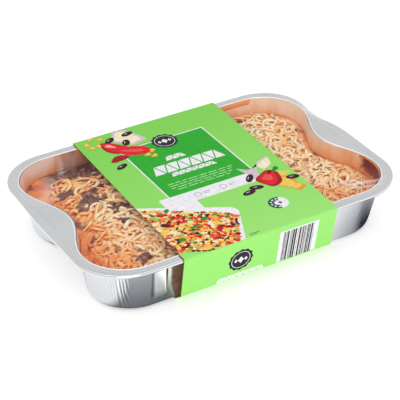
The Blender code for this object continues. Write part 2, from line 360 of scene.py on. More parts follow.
@dataclass(frozen=True)
class GreenCardFinish:
    """Green card that is darker towards the far side, with faint slanting dashes there."""

    name: str = "green_card"
    near: Colour = srgb(154, 226, 114)
    far: Colour = srgb(130, 210, 86)
    dash: Colour = srgb(116, 198, 76)

    def build(self) -> bpy.types.Material:
        """Build the material."""
        graph = Surface(self.name)
        place = graph.place()
        depth = graph.spread(graph.axes(place)["Y"], -90 * MM, 80 * MM)
        stripes = graph.add("ShaderNodeTexWave", {"Vector": place, "Scale": 190.0, "Distortion": 6.0,
                                                  "Detail Scale": 3.0}, bands_direction="DIAGONAL")
        dashes = graph.math("MULTIPLY", graph.math("MULTIPLY", stripes.outputs["Fac"], depth), 0.4)
        return graph.varnish(graph.mix(dashes, graph.mix(depth, self.near, self.far), self.dash))


@dataclass(frozen=True)
class BoardFinish:
    """Unprinted board with fibres."""

    name: str
    colour: Colour
    fleck: Colour

    def build(self) -> bpy.types.Material:
        """Build the material."""
        graph = Surface(self.name)
        flecks = graph.uneven(700.0, Stretch=(0.25, 1.0, 1.0), Low=0.45, High=0.7)
        return graph.finish({
            "Base Color": graph.mix(flecks, self.colour, self.fleck),
            "Roughness": 0.8,
            "Normal": graph.relief(800.0, 0.04 * MM),
        })


@dataclass(frozen=True)
class FilmFinish:
    """Clear lidding film: mostly see-through, with cloudiness and gloss that grow at a low angle, and whitish
    patches and wrinkle streaks that are partly film cloudiness and partly painted reflection.
    """

    name: str = "clear_film"
    # Strength of the whitish patches: partly film cloudiness, partly painted reflection.
    haze: float = 0.03
    # Strength of the whitish wrinkle streaks: partly film wrinkles, partly painted reflection.
    crease: float = 0.3
    sheen: float = 0.25

    def build(self) -> bpy.types.Material:
        """Build the material."""
        graph = Surface(self.name)
        patches = graph.uneven(16.0, Stretch=(1.0, 0.45, 1.0), Low=0.48, High=0.72)
        facing = graph.add("ShaderNodeLayerWeight", {"Blend": 0.5}).outputs["Facing"]
        cloudy = graph.math("MULTIPLY", patches, self.haze)
        haze = graph.math("MULTIPLY_ADD", graph.attribute("haze"), self.crease, cloudy)
        return graph.finish({
            "Base Color": srgb(250, 246, 246),
            "Roughness": 0.12,
            "Specular IOR Level": 0.12,
            "Alpha": graph.math("MULTIPLY_ADD", graph.math("POWER", facing, 4.0), self.sheen, haze),
            "Normal": graph.relief(45.0, 0.5 * MM, Stretch=(1.0, 0.35, 1.0)),
        })


@dataclass(frozen=True)
class CheeseFinish:
    """Grated cheese whose shreds run from cream to sauce orange by their tint attribute; lower shreds and
    shred undersides go more orange, partly as sauce soak and partly as painted shade.
    """

    name: str = "grated_cheese"
    pale: Colour = srgb(255, 236, 200)
    middle: Colour = srgb(255, 208, 148)
    soaked: Colour = srgb(255, 176, 98)
    deep: Colour = srgb(248, 150, 76)

    def build(self) -> bpy.types.Material:
        """Build the material."""
        graph = Surface(self.name)
        shade = graph.math("MULTIPLY_ADD", graph.uneven(140.0), 0.3, graph.attribute("tint"))
        # Lower shreds go more orange: partly sauce soak, partly painted shade between the shreds.
        soak_and_shade_below = graph.math("MULTIPLY_ADD", graph.attribute("lift"), -80.0, shade)
        # Undersides go more orange while tops stay pale: partly sauce soak, partly painted shade.
        underside_oil_and_shade = graph.math("MULTIPLY_ADD", graph.attribute("side"), 0.6, soak_and_shade_below)
        return graph.finish({
            "Base Color": graph.ramp(underside_oil_and_shade, ((0.1, self.pale), (0.5, self.middle), (0.85, self.soaked),
                                            (1.0, self.deep))),
            "Roughness": 0.36,
            "Subsurface Weight": 0.25,
            "Subsurface Radius": (1.0, 0.9, 0.8),
            "Subsurface Scale": 1.5 * MM,
            "Normal": graph.relief(900.0, 0.12 * MM),
        })


@dataclass(frozen=True)
class FillingFinish:
    """Moist beef and sauce: brown meat by its meat attribute, orange sauce elsewhere."""

    name: str = "beef_sauce"
    sauce: Colour = srgb(255, 170, 88)
    deep_sauce: Colour = srgb(218, 108, 52)
    meat: Colour = srgb(132, 78, 66)
    dark_meat: Colour = srgb(80, 42, 42)
    melted: Colour = srgb(255, 206, 150)
    soaked: Colour = srgb(255, 168, 108)

    def build(self) -> bpy.types.Material:
        """Build the material."""
        graph = Surface(self.name)
        stain = graph.uneven(90.0)
        sauce = graph.mix(stain, self.sauce, self.deep_sauce)
        cover = graph.mix(graph.attribute("cheesy"), sauce, graph.mix(stain, self.melted, self.soaked))
        brown = graph.mix(graph.uneven(380.0, Low=0.4, High=0.6), self.meat, self.dark_meat)
        return graph.finish({
            "Base Color": graph.mix(graph.attribute("meat"), cover, brown),
            "Roughness": 0.35,
            "Subsurface Weight": 0.15,
            "Subsurface Radius": (1.0, 0.45, 0.3),
            "Subsurface Scale": 1.5 * MM,
            "Normal": graph.relief(420.0, 0.5 * MM),
        })


@dataclass(frozen=True)
class SmearFinish:
    """Thin layer of colour on the foil, as sauce and as painted reflection and shade, with ragged edges that
    let the metal through.
    """

    name: str
    colour: Colour
    deep: Colour
    dark: Colour
    cover: float

    def build(self) -> bpy.types.Material:
        """Build the material."""
        graph = Surface(self.name)
        ragged = graph.uneven(260.0, Low=0.25, High=0.6)
        body = graph.math("MULTIPLY_ADD", ragged, 0.5, graph.attribute("fade"))
        streaks = graph.uneven(90.0, Stretch=(1.0, 1.0, 0.25))
        tone = graph.math("MULTIPLY_ADD", streaks, 0.24, graph.attribute("level"))
        return graph.finish({
            "Base Color": graph.ramp(tone, ((0.08, self.dark), (0.55, self.deep), (0.9, self.colour))),
            "Roughness": 0.4,
            "Specular IOR Level": 0.2,
            "Alpha": graph.spread(body, 0.35, 0.9, end=self.cover),
        })


def make_mesh(name: str, points: Ring, faces: Iterable[Sequence[int]], smooth: bool = True) -> bpy.types.Mesh:
    """Make a mesh from points and faces.

    Args:
        name: Mesh's name.
        points: Its points, one a row.
        faces: Point numbers of each face.
        smooth: True for smooth shading.

    Returns:
        The mesh.
    """
    mesh = bpy.data.meshes.new(name)
    mesh.from_pydata([tuple(point) for point in np.asarray(points, float)], [], [tuple(f) for f in faces])
    mesh.update()
    mesh.polygons.foreach_set("use_smooth", [smooth] * len(mesh.polygons))
    return mesh


def add_object(name: str, mesh: bpy.types.Mesh) -> bpy.types.Object:
    """Link a mesh to the scene as a named object at the origin.

    Args:
        name: Object's name.
        mesh: Its mesh.

    Returns:
        The object.
    """
    item = bpy.data.objects.new(name, mesh)
    bpy.context.scene.collection.objects.link(item)
    return item


def store_floats(mesh: bpy.types.Mesh, name: str, values: Ring) -> None:
    """Store one number a point as an attribute."""
    attribute = mesh.attributes.new(name, "FLOAT", "POINT")
    attribute.data.foreach_set("value", np.asarray(values, np.float32).ravel())


def at_height(ring: Ring, z: float | Ring) -> Ring:
    """Points of a flat ring at a height, or at a height each."""
    return np.column_stack([ring, np.broadcast_to(z, len(ring))])


def read_points(mesh: bpy.types.Mesh) -> Ring:
    """Points of a mesh, one a row."""
    return np.array([tuple(vertex.co) for vertex in mesh.vertices])


def move_points(mesh: bpy.types.Mesh, points: Ring) -> None:
    """Put a mesh's points where the rows say."""
    mesh.vertices.foreach_set("co", points.ravel())
    mesh.update()


def mend(mesh: bpy.types.Mesh, cap: Iterable[int] = (), split: bool = False) -> None:
    """Turn the faces of a mesh outwards.

    Args:
        mesh: Mesh to change.
        cap: Point numbers of a face that closes it, if one is missing.
        split: True to cut the faces into triangles.
    """
    bm = bmesh.new()
    bm.from_mesh(mesh)
    bm.verts.ensure_lookup_table()
    missing = [bm.verts[index] for index in cap]
    if missing:
        bm.faces.new(missing)
    if split:
        bmesh.ops.triangulate(bm, faces=bm.faces)
    bmesh.ops.recalc_face_normals(bm, faces=bm.faces)
    bm.to_mesh(mesh)
    bm.free()


def bake_modifiers(item: bpy.types.Object) -> None:
    """Turn an object's modifiers into its mesh.

    Args:
        item: Object whose mesh is replaced.
    """
    graph = bpy.context.evaluated_depsgraph_get()
    mesh = bpy.data.meshes.new_from_object(item.evaluated_get(graph), preserve_all_data_layers=True,
                                           depsgraph=graph)
    item.modifiers.clear()
    old = item.data
    mesh.name = old.name
    item.data = mesh
    bpy.data.meshes.remove(old)


def band_faces(rings: int, count: int) -> list[tuple[int, int, int, int]]:
    """Faces between closed rings of points that follow each other from the inside out.

    Args:
        rings: Number of rings.
        count: Points a ring.

    Returns:
        Four point numbers a face, facing up where the rings are level.
    """
    faces = []
    for ring in range(rings - 1):
        low = ring * count
        high = low + count
        for step in range(count):
            after = (step + 1) % count
            faces.append((low + step, high + step, high + after, low + after))
    return faces


def smooth_step(values: Ring, low: float, high: float) -> Ring:
    """Ease from 0 at low to 1 at high."""
    share = np.clip((np.asarray(values, float) - low) / (high - low), 0, 1)
    return share * share * (3 - 2 * share)


def field_noise(points: Ring, pitch: float, seed: float, octaves: int = 3) -> Ring:
    """Fractal noise, mostly from -1 to 1: pitch sizes its largest features, and seed shifts it."""
    shift = Vector((seed, seed * 0.37, seed * 1.91))
    return np.array([noise.fractal(Vector(point) / pitch + shift, 0.5, 2.0, octaves)
                     for point in points])


def run_nodes(name: str, surface: bpy.types.Mesh, tree: bpy.types.NodeTree,
              values: dict) -> bpy.types.Object:
    """Run a geometry tree on a surface and keep its result as a plain mesh.

    Args:
        name: Name of the new object.
        surface: Mesh that the tree works on.
        tree: The geometry tree.
        values: Values of its inputs by name.

    Returns:
        The new object.
    """
    item = add_object(name, surface)
    modifier = item.modifiers.new("Nodes", "NODES")
    modifier.node_group = tree
    names = {socket.name: socket.identifier for socket in tree.interface.items_tree
             if socket.item_type == "SOCKET" and socket.in_out == "INPUT"}
    for label, value in values.items():
        modifier[names[label]] = value
    item.update_tag()
    bake_modifiers(item)
    return item


class ScatterTree:
    """Geometry tree that scatters the meshes of a collection over a surface and drapes them on it."""

    def __init__(self, name: str) -> None:
        """Make an empty tree under a name."""
        self.tree = bpy.data.node_groups.new(name, "GeometryNodeTree")
        self.graph = NodeGraph(self.tree)
        add_sockets(self.tree, {
            "Geometry": "Geometry", "Shapes": "Collection", "Spacing": 3 * MM, "Density": 90000.0, "Seed": 1,
            "Tilt": 0.2, "Smallest": 0.8, "Largest": 1.2, "Lowest": 0.0, "Highest": 3 * MM,
            "Finish": "Material"}, "Geometry", "Geometry")
        self.given = self.graph.add("NodeGroupInput").outputs
        self.seed = self.given["Seed"]

    def chance(self, low: object, high: object, shift: int) -> bpy.types.NodeSocket:
        """Random number from low to high for each point, by the tree's seed plus a shift."""
        own = self.graph.math("ADD", self.seed, shift)
        return self.graph.add("FunctionNodeRandomValue", {2: low, 3: high, 8: own},
                              data_type="FLOAT").outputs[1]

    def attribute(self, name: str) -> bpy.types.NodeSocket:
        """Read a float attribute."""
        return self.graph.add("GeometryNodeInputNamedAttribute", {"Name": name},
                              data_type="FLOAT").outputs["Attribute"]

    def keep(self, geometry: bpy.types.NodeSocket, name: str,
             value: bpy.types.NodeSocket) -> bpy.types.NodeSocket:
        """Store a number on each instance, and give the instances with it."""
        return self.graph.add("GeometryNodeStoreNamedAttribute",
                              {"Geometry": geometry, "Name": name, "Value": value},
                              data_type="FLOAT", domain="INSTANCE").outputs["Geometry"]

    def build(self) -> bpy.types.NodeTree:
        """Build the tree.

        Returns:
            The finished tree.
        """
        graph, given, seed = self.graph, self.given, self.seed
        surface = given["Geometry"]
        spread = graph.add("GeometryNodeDistributePointsOnFaces",
                           {"Mesh": surface, "Distance Min": given["Spacing"],
                            "Density Max": given["Density"], "Seed": seed},
                           distribute_method="POISSON")
        graph.feed(spread.inputs["Density Factor"], self.attribute("cover"))
        shapes = graph.add("GeometryNodeCollectionInfo",
                           {"Collection": given["Shapes"], "Separate Children": True,
                            "Reset Children": True}).outputs[0]
        low_tilt = graph.math("MULTIPLY", given["Tilt"], -1.0)
        tilts = [self.chance(low_tilt, given["Tilt"], shift) for shift in (11, 12)]
        turn = graph.combine(*tilts, self.chance(0.0, TURN, 13))
        pick = graph.add("FunctionNodeRandomValue", {4: 0, 5: 999, 8: seed}, data_type="INT").outputs[2]
        size = self.chance(given["Smallest"], given["Largest"], 14)
        placed = graph.add("GeometryNodeInstanceOnPoints",
                           {"Points": spread.outputs["Points"], "Instance": shapes,
                            "Pick Instance": True, "Instance Index": pick, "Rotation": turn,
                            "Scale": size}).outputs[0]
        foot = graph.axes(graph.add("GeometryNodeInputPosition").outputs[0])["Z"]
        tint = graph.math("ADD", self.attribute("soak"), self.chance(-0.28, 0.28, 15))
        placed = self.keep(placed, "foot", foot)
        placed = self.keep(placed, "tint", tint)
        placed = self.keep(placed, "lift", self.chance(given["Lowest"], given["Highest"], 16))
        real = graph.add("GeometryNodeRealizeInstances", {"Geometry": placed}).outputs[0]
        axes = graph.axes(graph.add("GeometryNodeInputPosition").outputs[0])
        above = graph.combine(axes["X"], axes["Y"], 1.0)
        hit = graph.add("GeometryNodeRaycast", {"Target Geometry": surface, "Source Position": above,
                                                "Ray Direction": (0.0, 0.0, -1.0), "Ray Length": 2.0})
        level = graph.axes(hit.outputs["Hit Position"])["Z"]
        ground = graph.add("GeometryNodeSwitch", {"Switch": hit.outputs["Is Hit"],
                                                  "False": self.attribute("foot"), "True": level},
                           input_type="FLOAT").outputs[0]
        rise = graph.math("SUBTRACT", axes["Z"], self.attribute("foot"))
        height = graph.math("ADD", graph.math("ADD", ground, rise), self.attribute("lift"))
        draped = graph.combine(axes["X"], axes["Y"], height)
        moved = graph.add("GeometryNodeSetPosition", {"Geometry": real, "Position": draped}).outputs[0]
        dressed = graph.add("GeometryNodeSetMaterial", {"Geometry": moved, "Material": given["Finish"]})
        graph.add("NodeGroupOutput", {"Geometry": dressed.outputs[0]})
        return self.tree


class RopeTree:
    """Geometry tree that sweeps a round section along the edges of a mesh."""

    def build(self) -> bpy.types.NodeTree:
        """Build the tree.

        Returns:
            The finished tree.
        """
        tree = bpy.data.node_groups.new("rolled_ridge", "GeometryNodeTree")
        graph = NodeGraph(tree)
        add_sockets(tree, {"Geometry": "Geometry", "Radius": 0.5 * MM, "Sides": 8, "Finish": "Material"},
                    "Geometry", "Geometry")
        given = graph.add("NodeGroupInput").outputs
        line = graph.add("GeometryNodeMeshToCurve", {"Mesh": given["Geometry"]}).outputs[0]
        section = graph.add("GeometryNodeCurvePrimitiveCircle", {"Resolution": given["Sides"],
                                                                 "Radius": given["Radius"]}).outputs[0]
        tube = graph.add("GeometryNodeCurveToMesh", {"Curve": line, "Profile Curve": section}).outputs[0]
        real = graph.add("GeometryNodeRealizeInstances", {"Geometry": tube}).outputs[0]
        dressed = graph.add("GeometryNodeSetMaterial", {"Geometry": real, "Material": given["Finish"]})
        graph.add("NodeGroupOutput", {"Geometry": dressed.outputs[0]})
        return tree


def scatter(name: str, carrier: bpy.types.Mesh, meshes: Sequence[bpy.types.Mesh],
            values: dict) -> bpy.types.Object:
    """Scatter loose shapes over a surface.

    Args:
        name: Name of the new piece.
        carrier: Surface with its cover and soak attributes.
        meshes: Mesh of each shape.
        values: The scatter tree's sizes and finish by name.

    Returns:
        The piece.
    """
    shapes = bpy.data.collections.new(name)
    for index, mesh in enumerate(meshes):
        shapes.objects.link(bpy.data.objects.new(f"{name}_{index:02d}", mesh))
    item = run_nodes(name, carrier, ScatterTree(name).build(), {"Shapes": shapes, **values})
    for shape in list(shapes.objects):
        bpy.data.objects.remove(shape)
    bpy.data.collections.remove(shapes)
    return item


def finish_piece(item: bpy.types.Object, slot: Slot, materials: Sequence[bpy.types.Material],
                 *nodes: str) -> None:
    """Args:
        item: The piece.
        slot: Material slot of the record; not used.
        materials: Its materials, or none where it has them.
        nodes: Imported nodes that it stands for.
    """
    for material in materials:
        item.data.materials.append(material)
    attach(item, BODY)
    if nodes:
        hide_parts(*nodes)
    LOG.info("%s: %d faces", item.name, len(item.data.polygons))


@dataclass(frozen=True)
class TrayPlan:
    """Outline of the tray at its named sizes, as rings of points that start at the +X end."""

    half_length: float = 125.5 * MM
    half_width: float = 86.2 * MM
    radius: float = 34.4 * MM
    radius_loss: float = 0.3
    pinch_depth: float = 15.3 * MM
    rim_half_length: float = 134.1 * MM
    rim_half_width: float = 94.0 * MM
    rim_radius: float = 40.0 * MM
    bulge: float = 1.0 * MM
    height: float = 43.0 * MM
    floor: float = 1.15 * MM
    foot_radius: float = 4.0 * MM
    taper: float = 6.5 * MM
    droop: float = 4.6 * MM
    droop_y: float = 42.0 * MM
    droop_spread: float = 24.0 * MM
    side_steps: int = 88
    lug_steps: int = 26
    lug_share: float = 0.26
    corner_steps: int = 96
    end_steps: int = 48

    def mirrored(self, quarter: Outline) -> Ring:
        """Mirror points, from the middle of the +X end to the middle of the +Y side, over both axes."""
        upper = quarter + [(-x, y) for x, y in reversed(quarter[:-1])]
        return np.array(upper + [(x, -y) for x, y in reversed(upper[1:-1])])

    def ring(self, half_length: float, half_width: float, radius: float, pinch: float) -> Ring:
        """Ring of a rounded rectangle with pinched ends.

        Args:
            half_length: Half its length, without the pinch.
            half_width: Half its width.
            radius: Corner radius.
            pinch: How far the middle of each end moves in.

        Returns:
            Flat points, one a row.
        """
        centre_x = half_length - radius
        centre_y = half_width - radius
        half_end = self.end_steps // 2
        half_side = self.side_steps // 2
        quarter = []
        for step in range(half_end):
            y = centre_y * step / half_end
            quarter.append((half_length - pinch * (0.5 + 0.5 * math.cos(math.pi * y / centre_y)), y))
        for step in range(self.corner_steps + 1):
            angle = math.pi / 2 * step / self.corner_steps
            quarter.append((centre_x + radius * math.cos(angle), centre_y + radius * math.sin(angle)))
        for step in range(1, half_side + 1):
            share = np.interp(step, (0, self.lug_steps, half_side), (0, self.lug_share, 1))
            quarter.append((centre_x * (1 - share), half_width))
        return self.mirrored(quarter)

    def opening(self, inset: float) -> Ring:
        """Ring of the inner face, inset from the opening's edge."""
        return self.ring(self.half_length - inset, self.half_width - inset,
                         self.radius - self.radius_loss * inset, self.pinch_depth)

    def rim(self, inset: float = 0.0) -> Ring:
        """Ring of the rim's outer edge, moved in by inset."""
        return self.ring(self.rim_half_length - inset, self.rim_half_width - inset,
                         self.rim_radius - inset, -self.bulge)

    def wall_inset(self, z: float) -> float:
        """Inset of the sloping wall at height z."""
        return self.taper * (self.height - z) / (self.height - self.floor - self.foot_radius)

    def droop_at(self, rim: Ring) -> Ring:
        """How far the rim's outer edge is bent down at each point."""
        amount = self.droop * np.exp(-((rim[:, 1] - self.droop_y) / self.droop_spread) ** 2)
        return np.where(rim[:, 0] < self.rim_half_length - self.rim_radius, 0.0, amount)

    def flange(self, share: float, lift: float = 0.0) -> Ring:
        """Ring of the flange's upper face.

        Args:
            share: Share of the way from the opening to the outer edge.
            lift: Height above the face.

        Returns:
            Points, one a row.
        """
        edge = self.rim()
        flat = self.opening(0.0) * (1 - share) + edge * share
        return np.column_stack([flat, self.height + lift - share * self.droop_at(edge)])

    def reach(self, points: Ring, inset: float) -> Ring:
        """Share of the way out to the wall of flat points.

        Args:
            points: Flat points, one a row.
            inset: Inset of the ring that counts as 1.

        Returns:
            One share a point.
        """
        ring = self.opening(inset)
        angles = np.arctan2(ring[:, 1], ring[:, 0])
        order = np.argsort(angles)
        radii = np.hypot(ring[:, 0], ring[:, 1])[order]
        around = np.interp(np.arctan2(points[:, 1], points[:, 0]), angles[order], radii, period=TURN)
        return np.hypot(points[:, 0], points[:, 1]) / around


def outward_normals(ring: Ring) -> Ring:
    """Flat unit vectors that point out of a counterclockwise ring, one a point."""
    along = np.roll(ring, -1, 0) - np.roll(ring, 1, 0)
    across = np.column_stack([along[:, 1], -along[:, 0]])
    return across / np.linalg.norm(across, axis=1)[:, None]


@dataclass
class TrayShell:
    """Foil tray: floor, wrinkled wall, flange and rolled edge."""

    plan: TrayPlan = field(default_factory=TrayPlan)
    finish: FoilFinish = field(default_factory=FoilFinish)
    foil: float = 0.28 * MM
    floor_shares: tuple[float, ...] = (0.15, 0.45, 0.75, 0.92)
    foot_steps: int = 7
    wall_steps: int = 9
    lip_drop: float = 1.4 * MM
    flange_rows: tuple[tuple[float, float], ...] = (
        (0.0, 0.7), (0.012, 0.25), (0.04, 0.03), (0.10, 0.0), (0.3, 0.0), (0.5, 0.0), (0.7, 0.0),
        (0.85, 0.0), (0.93, 0.0))
    edge_rows: tuple[tuple[float, float], ...] = (
        (0.5, 0.1), (0.14, 0.42), (0.0, 0.95), (0.0, 1.9), (0.2, 2.4), (0.7, 2.65))
    wrinkle_depth: float = 0.3 * MM
    wrinkle_pitch: float = 2.1 * MM
    gathers: tuple[tuple[float, float, float], ...] = (
        (-108.5, -77, 5.5), (113, -74, 16), (112, 76, 13), (-112, 74, 13))
    lug_places: tuple[float, ...] = (-81.3 * MM,)
    lug_half_width: float = 5.6 * MM
    lug_edge: float = 1.2 * MM
    lug_depth: float = 0.5 * MM
    lug_lean: float = 0.115
    lug_base: float = 11.0 * MM
    lug_top: float = 39.5 * MM
    girth: float = 640.0 * MM
    ridge_radius: float = 0.7 * MM
    ridge_share: float = 0.06
    ridge_sink: float = 0.4 * MM

    def crimp(self, ring: Ring, z: float) -> tuple[Ring, Ring]:
        """Move a wall ring by its draw wrinkles and its stacking lugs.

        Args:
            ring: Flat points of the ring.
            z: Its height.

        Returns:
            The moved ring, and how much each point is a crest (above 0.5) or a trough, which the foil's
            colour turns into painted highlight and painted shade.
        """
        length = np.concatenate([[0], np.cumsum(np.linalg.norm(np.diff(ring, axis=0), axis=1))])
        length = length / length[-1] * self.girth
        uneven = field_noise(at_height(ring, z * 0.12), 9 * MM, 4.0, 2)
        gather = np.zeros(len(ring))
        for x, y, spread in self.gathers:
            away = np.hypot(ring[:, 0] - x * MM, ring[:, 1] - y * MM) / (spread * MM)
            gather = np.maximum(gather, np.exp(-away ** 2))
        lower = smooth_step(z, self.plan.height - 1 * MM, self.plan.height - 16 * MM)
        upper = smooth_step(z, self.plan.floor + 1 * MM, self.plan.floor + 6 * MM)
        wave = np.sin(TURN * length / self.wrinkle_pitch + 5 * uneven)
        strength = gather * lower * upper
        move = self.wrinkle_depth * strength * (wave + 0.6)
        # Crests above 0.5 and troughs below it, for the foil's painted highlight and painted shade.
        fold = 0.5 + 0.5 * wave * strength
        rise = smooth_step(z, self.lug_base - 3 * MM, self.lug_base)
        fall = smooth_step(z, self.lug_top, self.lug_top - 2 * MM)
        side = (np.abs(ring[:, 1]) > self.plan.half_width - 16 * MM) * rise * fall
        lug = self.lug_depth + self.lug_lean * max(self.lug_top - z, 0.0)
        for place in self.lug_places:
            off = np.abs(ring[:, 0] - place)
            near = smooth_step(off, self.lug_half_width, self.lug_half_width - self.lug_edge)
            move = move + lug * near * side
            groove = np.exp(-((off - self.lug_half_width) / (0.7 * MM)) ** 2)
            # The lug's face is raised here as a painted highlight and its edges lowered as painted shade.
            fold = fold + side * (0.45 * near - 0.6 * groove)
        return ring + outward_normals(ring) * move[:, None], fold

    def rings(self) -> tuple[list[Ring], Ring]:
        """Rings of the inner face, from the middle of the floor to the rolled edge, and their crests."""
        plan = self.plan
        folds = []
        inner = plan.opening(plan.taper + plan.foot_radius)
        rings = [at_height(inner * share, plan.floor) for share in self.floor_shares]
        for step in range(self.foot_steps + 1):
            angle = math.pi / 2 * step / self.foot_steps
            inset = plan.taper + plan.foot_radius * (1 - math.sin(angle))
            z = plan.floor + plan.foot_radius * (1 - math.cos(angle))
            ring, fold = self.crimp(plan.opening(inset), z)
            rings.append(at_height(ring, z))
            folds.append(fold)
        base = plan.floor + plan.foot_radius
        lip = plan.height - self.lip_drop
        for step in range(1, self.wall_steps + 1):
            z = base + (lip - base) * step / self.wall_steps
            ring, fold = self.crimp(plan.opening(plan.wall_inset(z)), z)
            rings.append(at_height(ring, z))
            folds.append(fold)
        rings += [plan.flange(share, -drop * MM) for share, drop in self.flange_rows]
        edge = plan.flange(1.0)[:, 2]
        rings += [at_height(plan.rim(inset * MM), edge - drop * MM) for inset, drop in self.edge_rows]
        flat = np.full(len(inner), 0.5)
        first = len(self.floor_shares)
        last = len(rings) - len(folds) - first
        return rings, np.concatenate([flat] * first + folds + [flat] * last)

    def build_shell(self) -> bpy.types.Object:
        """Build the tray's sheet.

        Returns:
            The shell, thickened outwards.
        """
        rings, folds = self.rings()
        count = len(rings[0])
        faces = band_faces(len(rings), count)
        points = np.vstack(rings + [np.array([[0, 0, self.plan.floor]])])
        centre = len(points) - 1
        faces += [(centre, step, (step + 1) % count) for step in range(count)]
        mesh = make_mesh("tray_shell", points, faces)
        # The fold attribute drives the foil's painted highlight and painted shade.
        store_floats(mesh, "fold", np.append(folds, 0.5))
        item = add_object("tray_shell", mesh)
        modifier = item.modifiers.new("Foil", "SOLIDIFY")
        modifier.thickness = self.foil
        modifier.offset = -1.0
        modifier.use_even_offset = False
        bake_modifiers(item)
        return item

    def build_ridge(self, material: bpy.types.Material) -> bpy.types.Object:
        """Build the raised line round the opening, in a lighter copy of the foil that paints its highlight.

        Args:
            material: Foil's material.

        Returns:
            The ridge.
        """
        ring = self.plan.flange(self.ridge_share, -self.ridge_sink)
        line = bpy.data.meshes.new("tray_ridge")
        edges = [(step, (step + 1) % len(ring)) for step in range(len(ring))]
        line.from_pydata([tuple(point) for point in ring], edges, [])
        return run_nodes("tray_ridge", line, RopeTree().build(),
                         {"Radius": self.ridge_radius, "Sides": 8, "Finish": material})

    def build(self) -> None:
        """Build and dress the tray."""
        material = self.finish.build()
        finish_piece(self.build_shell(), Slot.FOIL, [material], "foil_tray")
        # Painted highlight: the lip is a whiter copy of the foil.
        lip = FoilFinish("bright_lip", srgb(252, 252, 253), srgb(246, 247, 249), 0.3, 0.4, folded=False)
        finish_piece(self.build_ridge(lip.build()), Slot.FOIL, [], "foil_tray")


@dataclass
class FoodShape:
    """Heights of the food, as functions of flat points."""

    plan: TrayPlan = field(default_factory=TrayPlan)
    fill: float = 27.6 * MM
    mound: float = 5.6 * MM
    bake_lump: float = 0.7 * MM
    bake_pitch: float = 21.0 * MM
    cheese: float = 2.4 * MM
    cheese_reach: float = 0.93
    right_reach: float = 0.045
    bare_corner: tuple[float, float] = (-112.0 * MM, 78.0 * MM)
    bare_spread: float = 30.0 * MM
    bare_share: float = 0.2
    bare_strip: float = 58.0 * MM
    meat_places: tuple[tuple[float, float, float], ...] = (
        (-92, 44, 7), (-78, 22, 9), (-68, 6, 6), (-74, -19, 5), (-109, -30, 3), (-82, -62, 6), (-90, -9, 5),
        (-94, -47, 4), (-80, 34, 7), (-70, 73, 15), (-88, 70, 9), (-64, 56, 9), (-66, 38, 6), (109, 62, 7),
        (116, 40, 6), (102, 42, 4), (109, -2, 5), (78, 72, 8), (-102, -22, 4), (-96, 20, 5))
    sauce_place: tuple[float, float] = (-113.0 * MM, -30.0 * MM)
    sauce_spread: tuple[float, float] = (10.0 * MM, 27.0 * MM)

    def inset(self) -> float:
        """Inset of the wall at the fill height."""
        return self.plan.wall_inset(self.fill) + 0.3 * MM

    def share(self, points: Ring) -> Ring:
        """Share of the way out to the wall."""
        return self.plan.reach(points, self.inset())

    def bake(self, points: Ring, share: Ring) -> Ring:
        """Top of the bake.

        Args:
            points: Flat points.
            share: Their share of the way out.

        Returns:
            Heights.
        """
        x, y = points[:, 0], points[:, 1]
        wave = TURN / self.bake_pitch
        short = np.sin(wave * (x + 0.4 * y)) * np.cos(wave * (y - 0.4 * x))
        lumps = self.bake_lump * (short + np.sin(0.6 * wave * (y - 0.4 * x))) / 2
        return self.fill + self.mound * (1 - share ** 4) + lumps * (1 - share)

    def cheese_edge(self, points: Ring) -> Ring:
        """Share of the way out that the cheese reaches."""
        corner = np.hypot(points[:, 0] - self.bare_corner[0], points[:, 1] - self.bare_corner[1])
        reach = self.cheese_reach + self.right_reach * (points[:, 0] > 0)
        return reach - self.bare_share * np.exp(-(corner / self.bare_spread) ** 2)

    def cheese_cover(self, points: Ring, share: Ring) -> Ring:
        """How fully cheese covers flat points, from 0 to 1."""
        edge = self.cheese_edge(points)
        return (1 - smooth_step(share, edge - 0.03, edge + 0.03)) * (1 - self.strip(points))

    def strip(self, points: Ring) -> Ring:
        """Bare strip along the far wall at the left end, from 0 to 1."""
        inner = smooth_step(points[:, 1], self.bare_strip, self.bare_strip + 5 * MM)
        return inner * (points[:, 0] < -54 * MM)

    def sauce(self, points: Ring) -> Ring:
        """Saucy place near the left end where few shreds lie, from 0 to 1."""
        x, y = ((points[:, axis] - self.sauce_place[axis]) / self.sauce_spread[axis] for axis in (0, 1))
        return np.exp(-x ** 2 - y ** 2)

    def meat(self, points: Ring) -> Ring:
        """Patches of bare meat, from 0 to 1, most on the left."""
        flat = at_height(points[:, :2], 0.0)
        patches = 0.7 * field_noise(flat, 13 * MM, 7.3, 3) - 0.25 * smooth_step(points[:, 0], 0, 60 * MM)
        for x, y, radius in self.meat_places:
            spot = np.hypot(points[:, 0] - x * MM, points[:, 1] - y * MM) / (radius * MM)
            patches = patches + 0.85 * np.exp(-spot ** 2)
        return smooth_step(patches, 0.22, 0.5)

    def top(self, points: Ring) -> Ring:
        """Height that the shreds lie on."""
        share = self.share(points)
        return self.bake(points, share) + self.cheese * self.cheese_cover(points, share)


@dataclass(frozen=True)
class MinceFinish:
    """Browned mince with sauce clinging to it."""

    name: str = "browned_mince"
    pale: Colour = srgb(186, 116, 90)
    brown: Colour = srgb(124, 72, 62)
    dark: Colour = srgb(74, 40, 40)

    def build(self) -> bpy.types.Material:
        """Build the material."""
        graph = Surface(self.name)
        shade = graph.math("MULTIPLY_ADD", graph.uneven(420.0), 0.6, graph.attribute("tint"))
        return graph.finish({
            "Base Color": graph.ramp(shade, ((0.0, self.dark), (0.5, self.brown), (1.0, self.pale))),
            "Roughness": 0.38,
            "Normal": graph.relief(650.0, 0.6 * MM),
        })


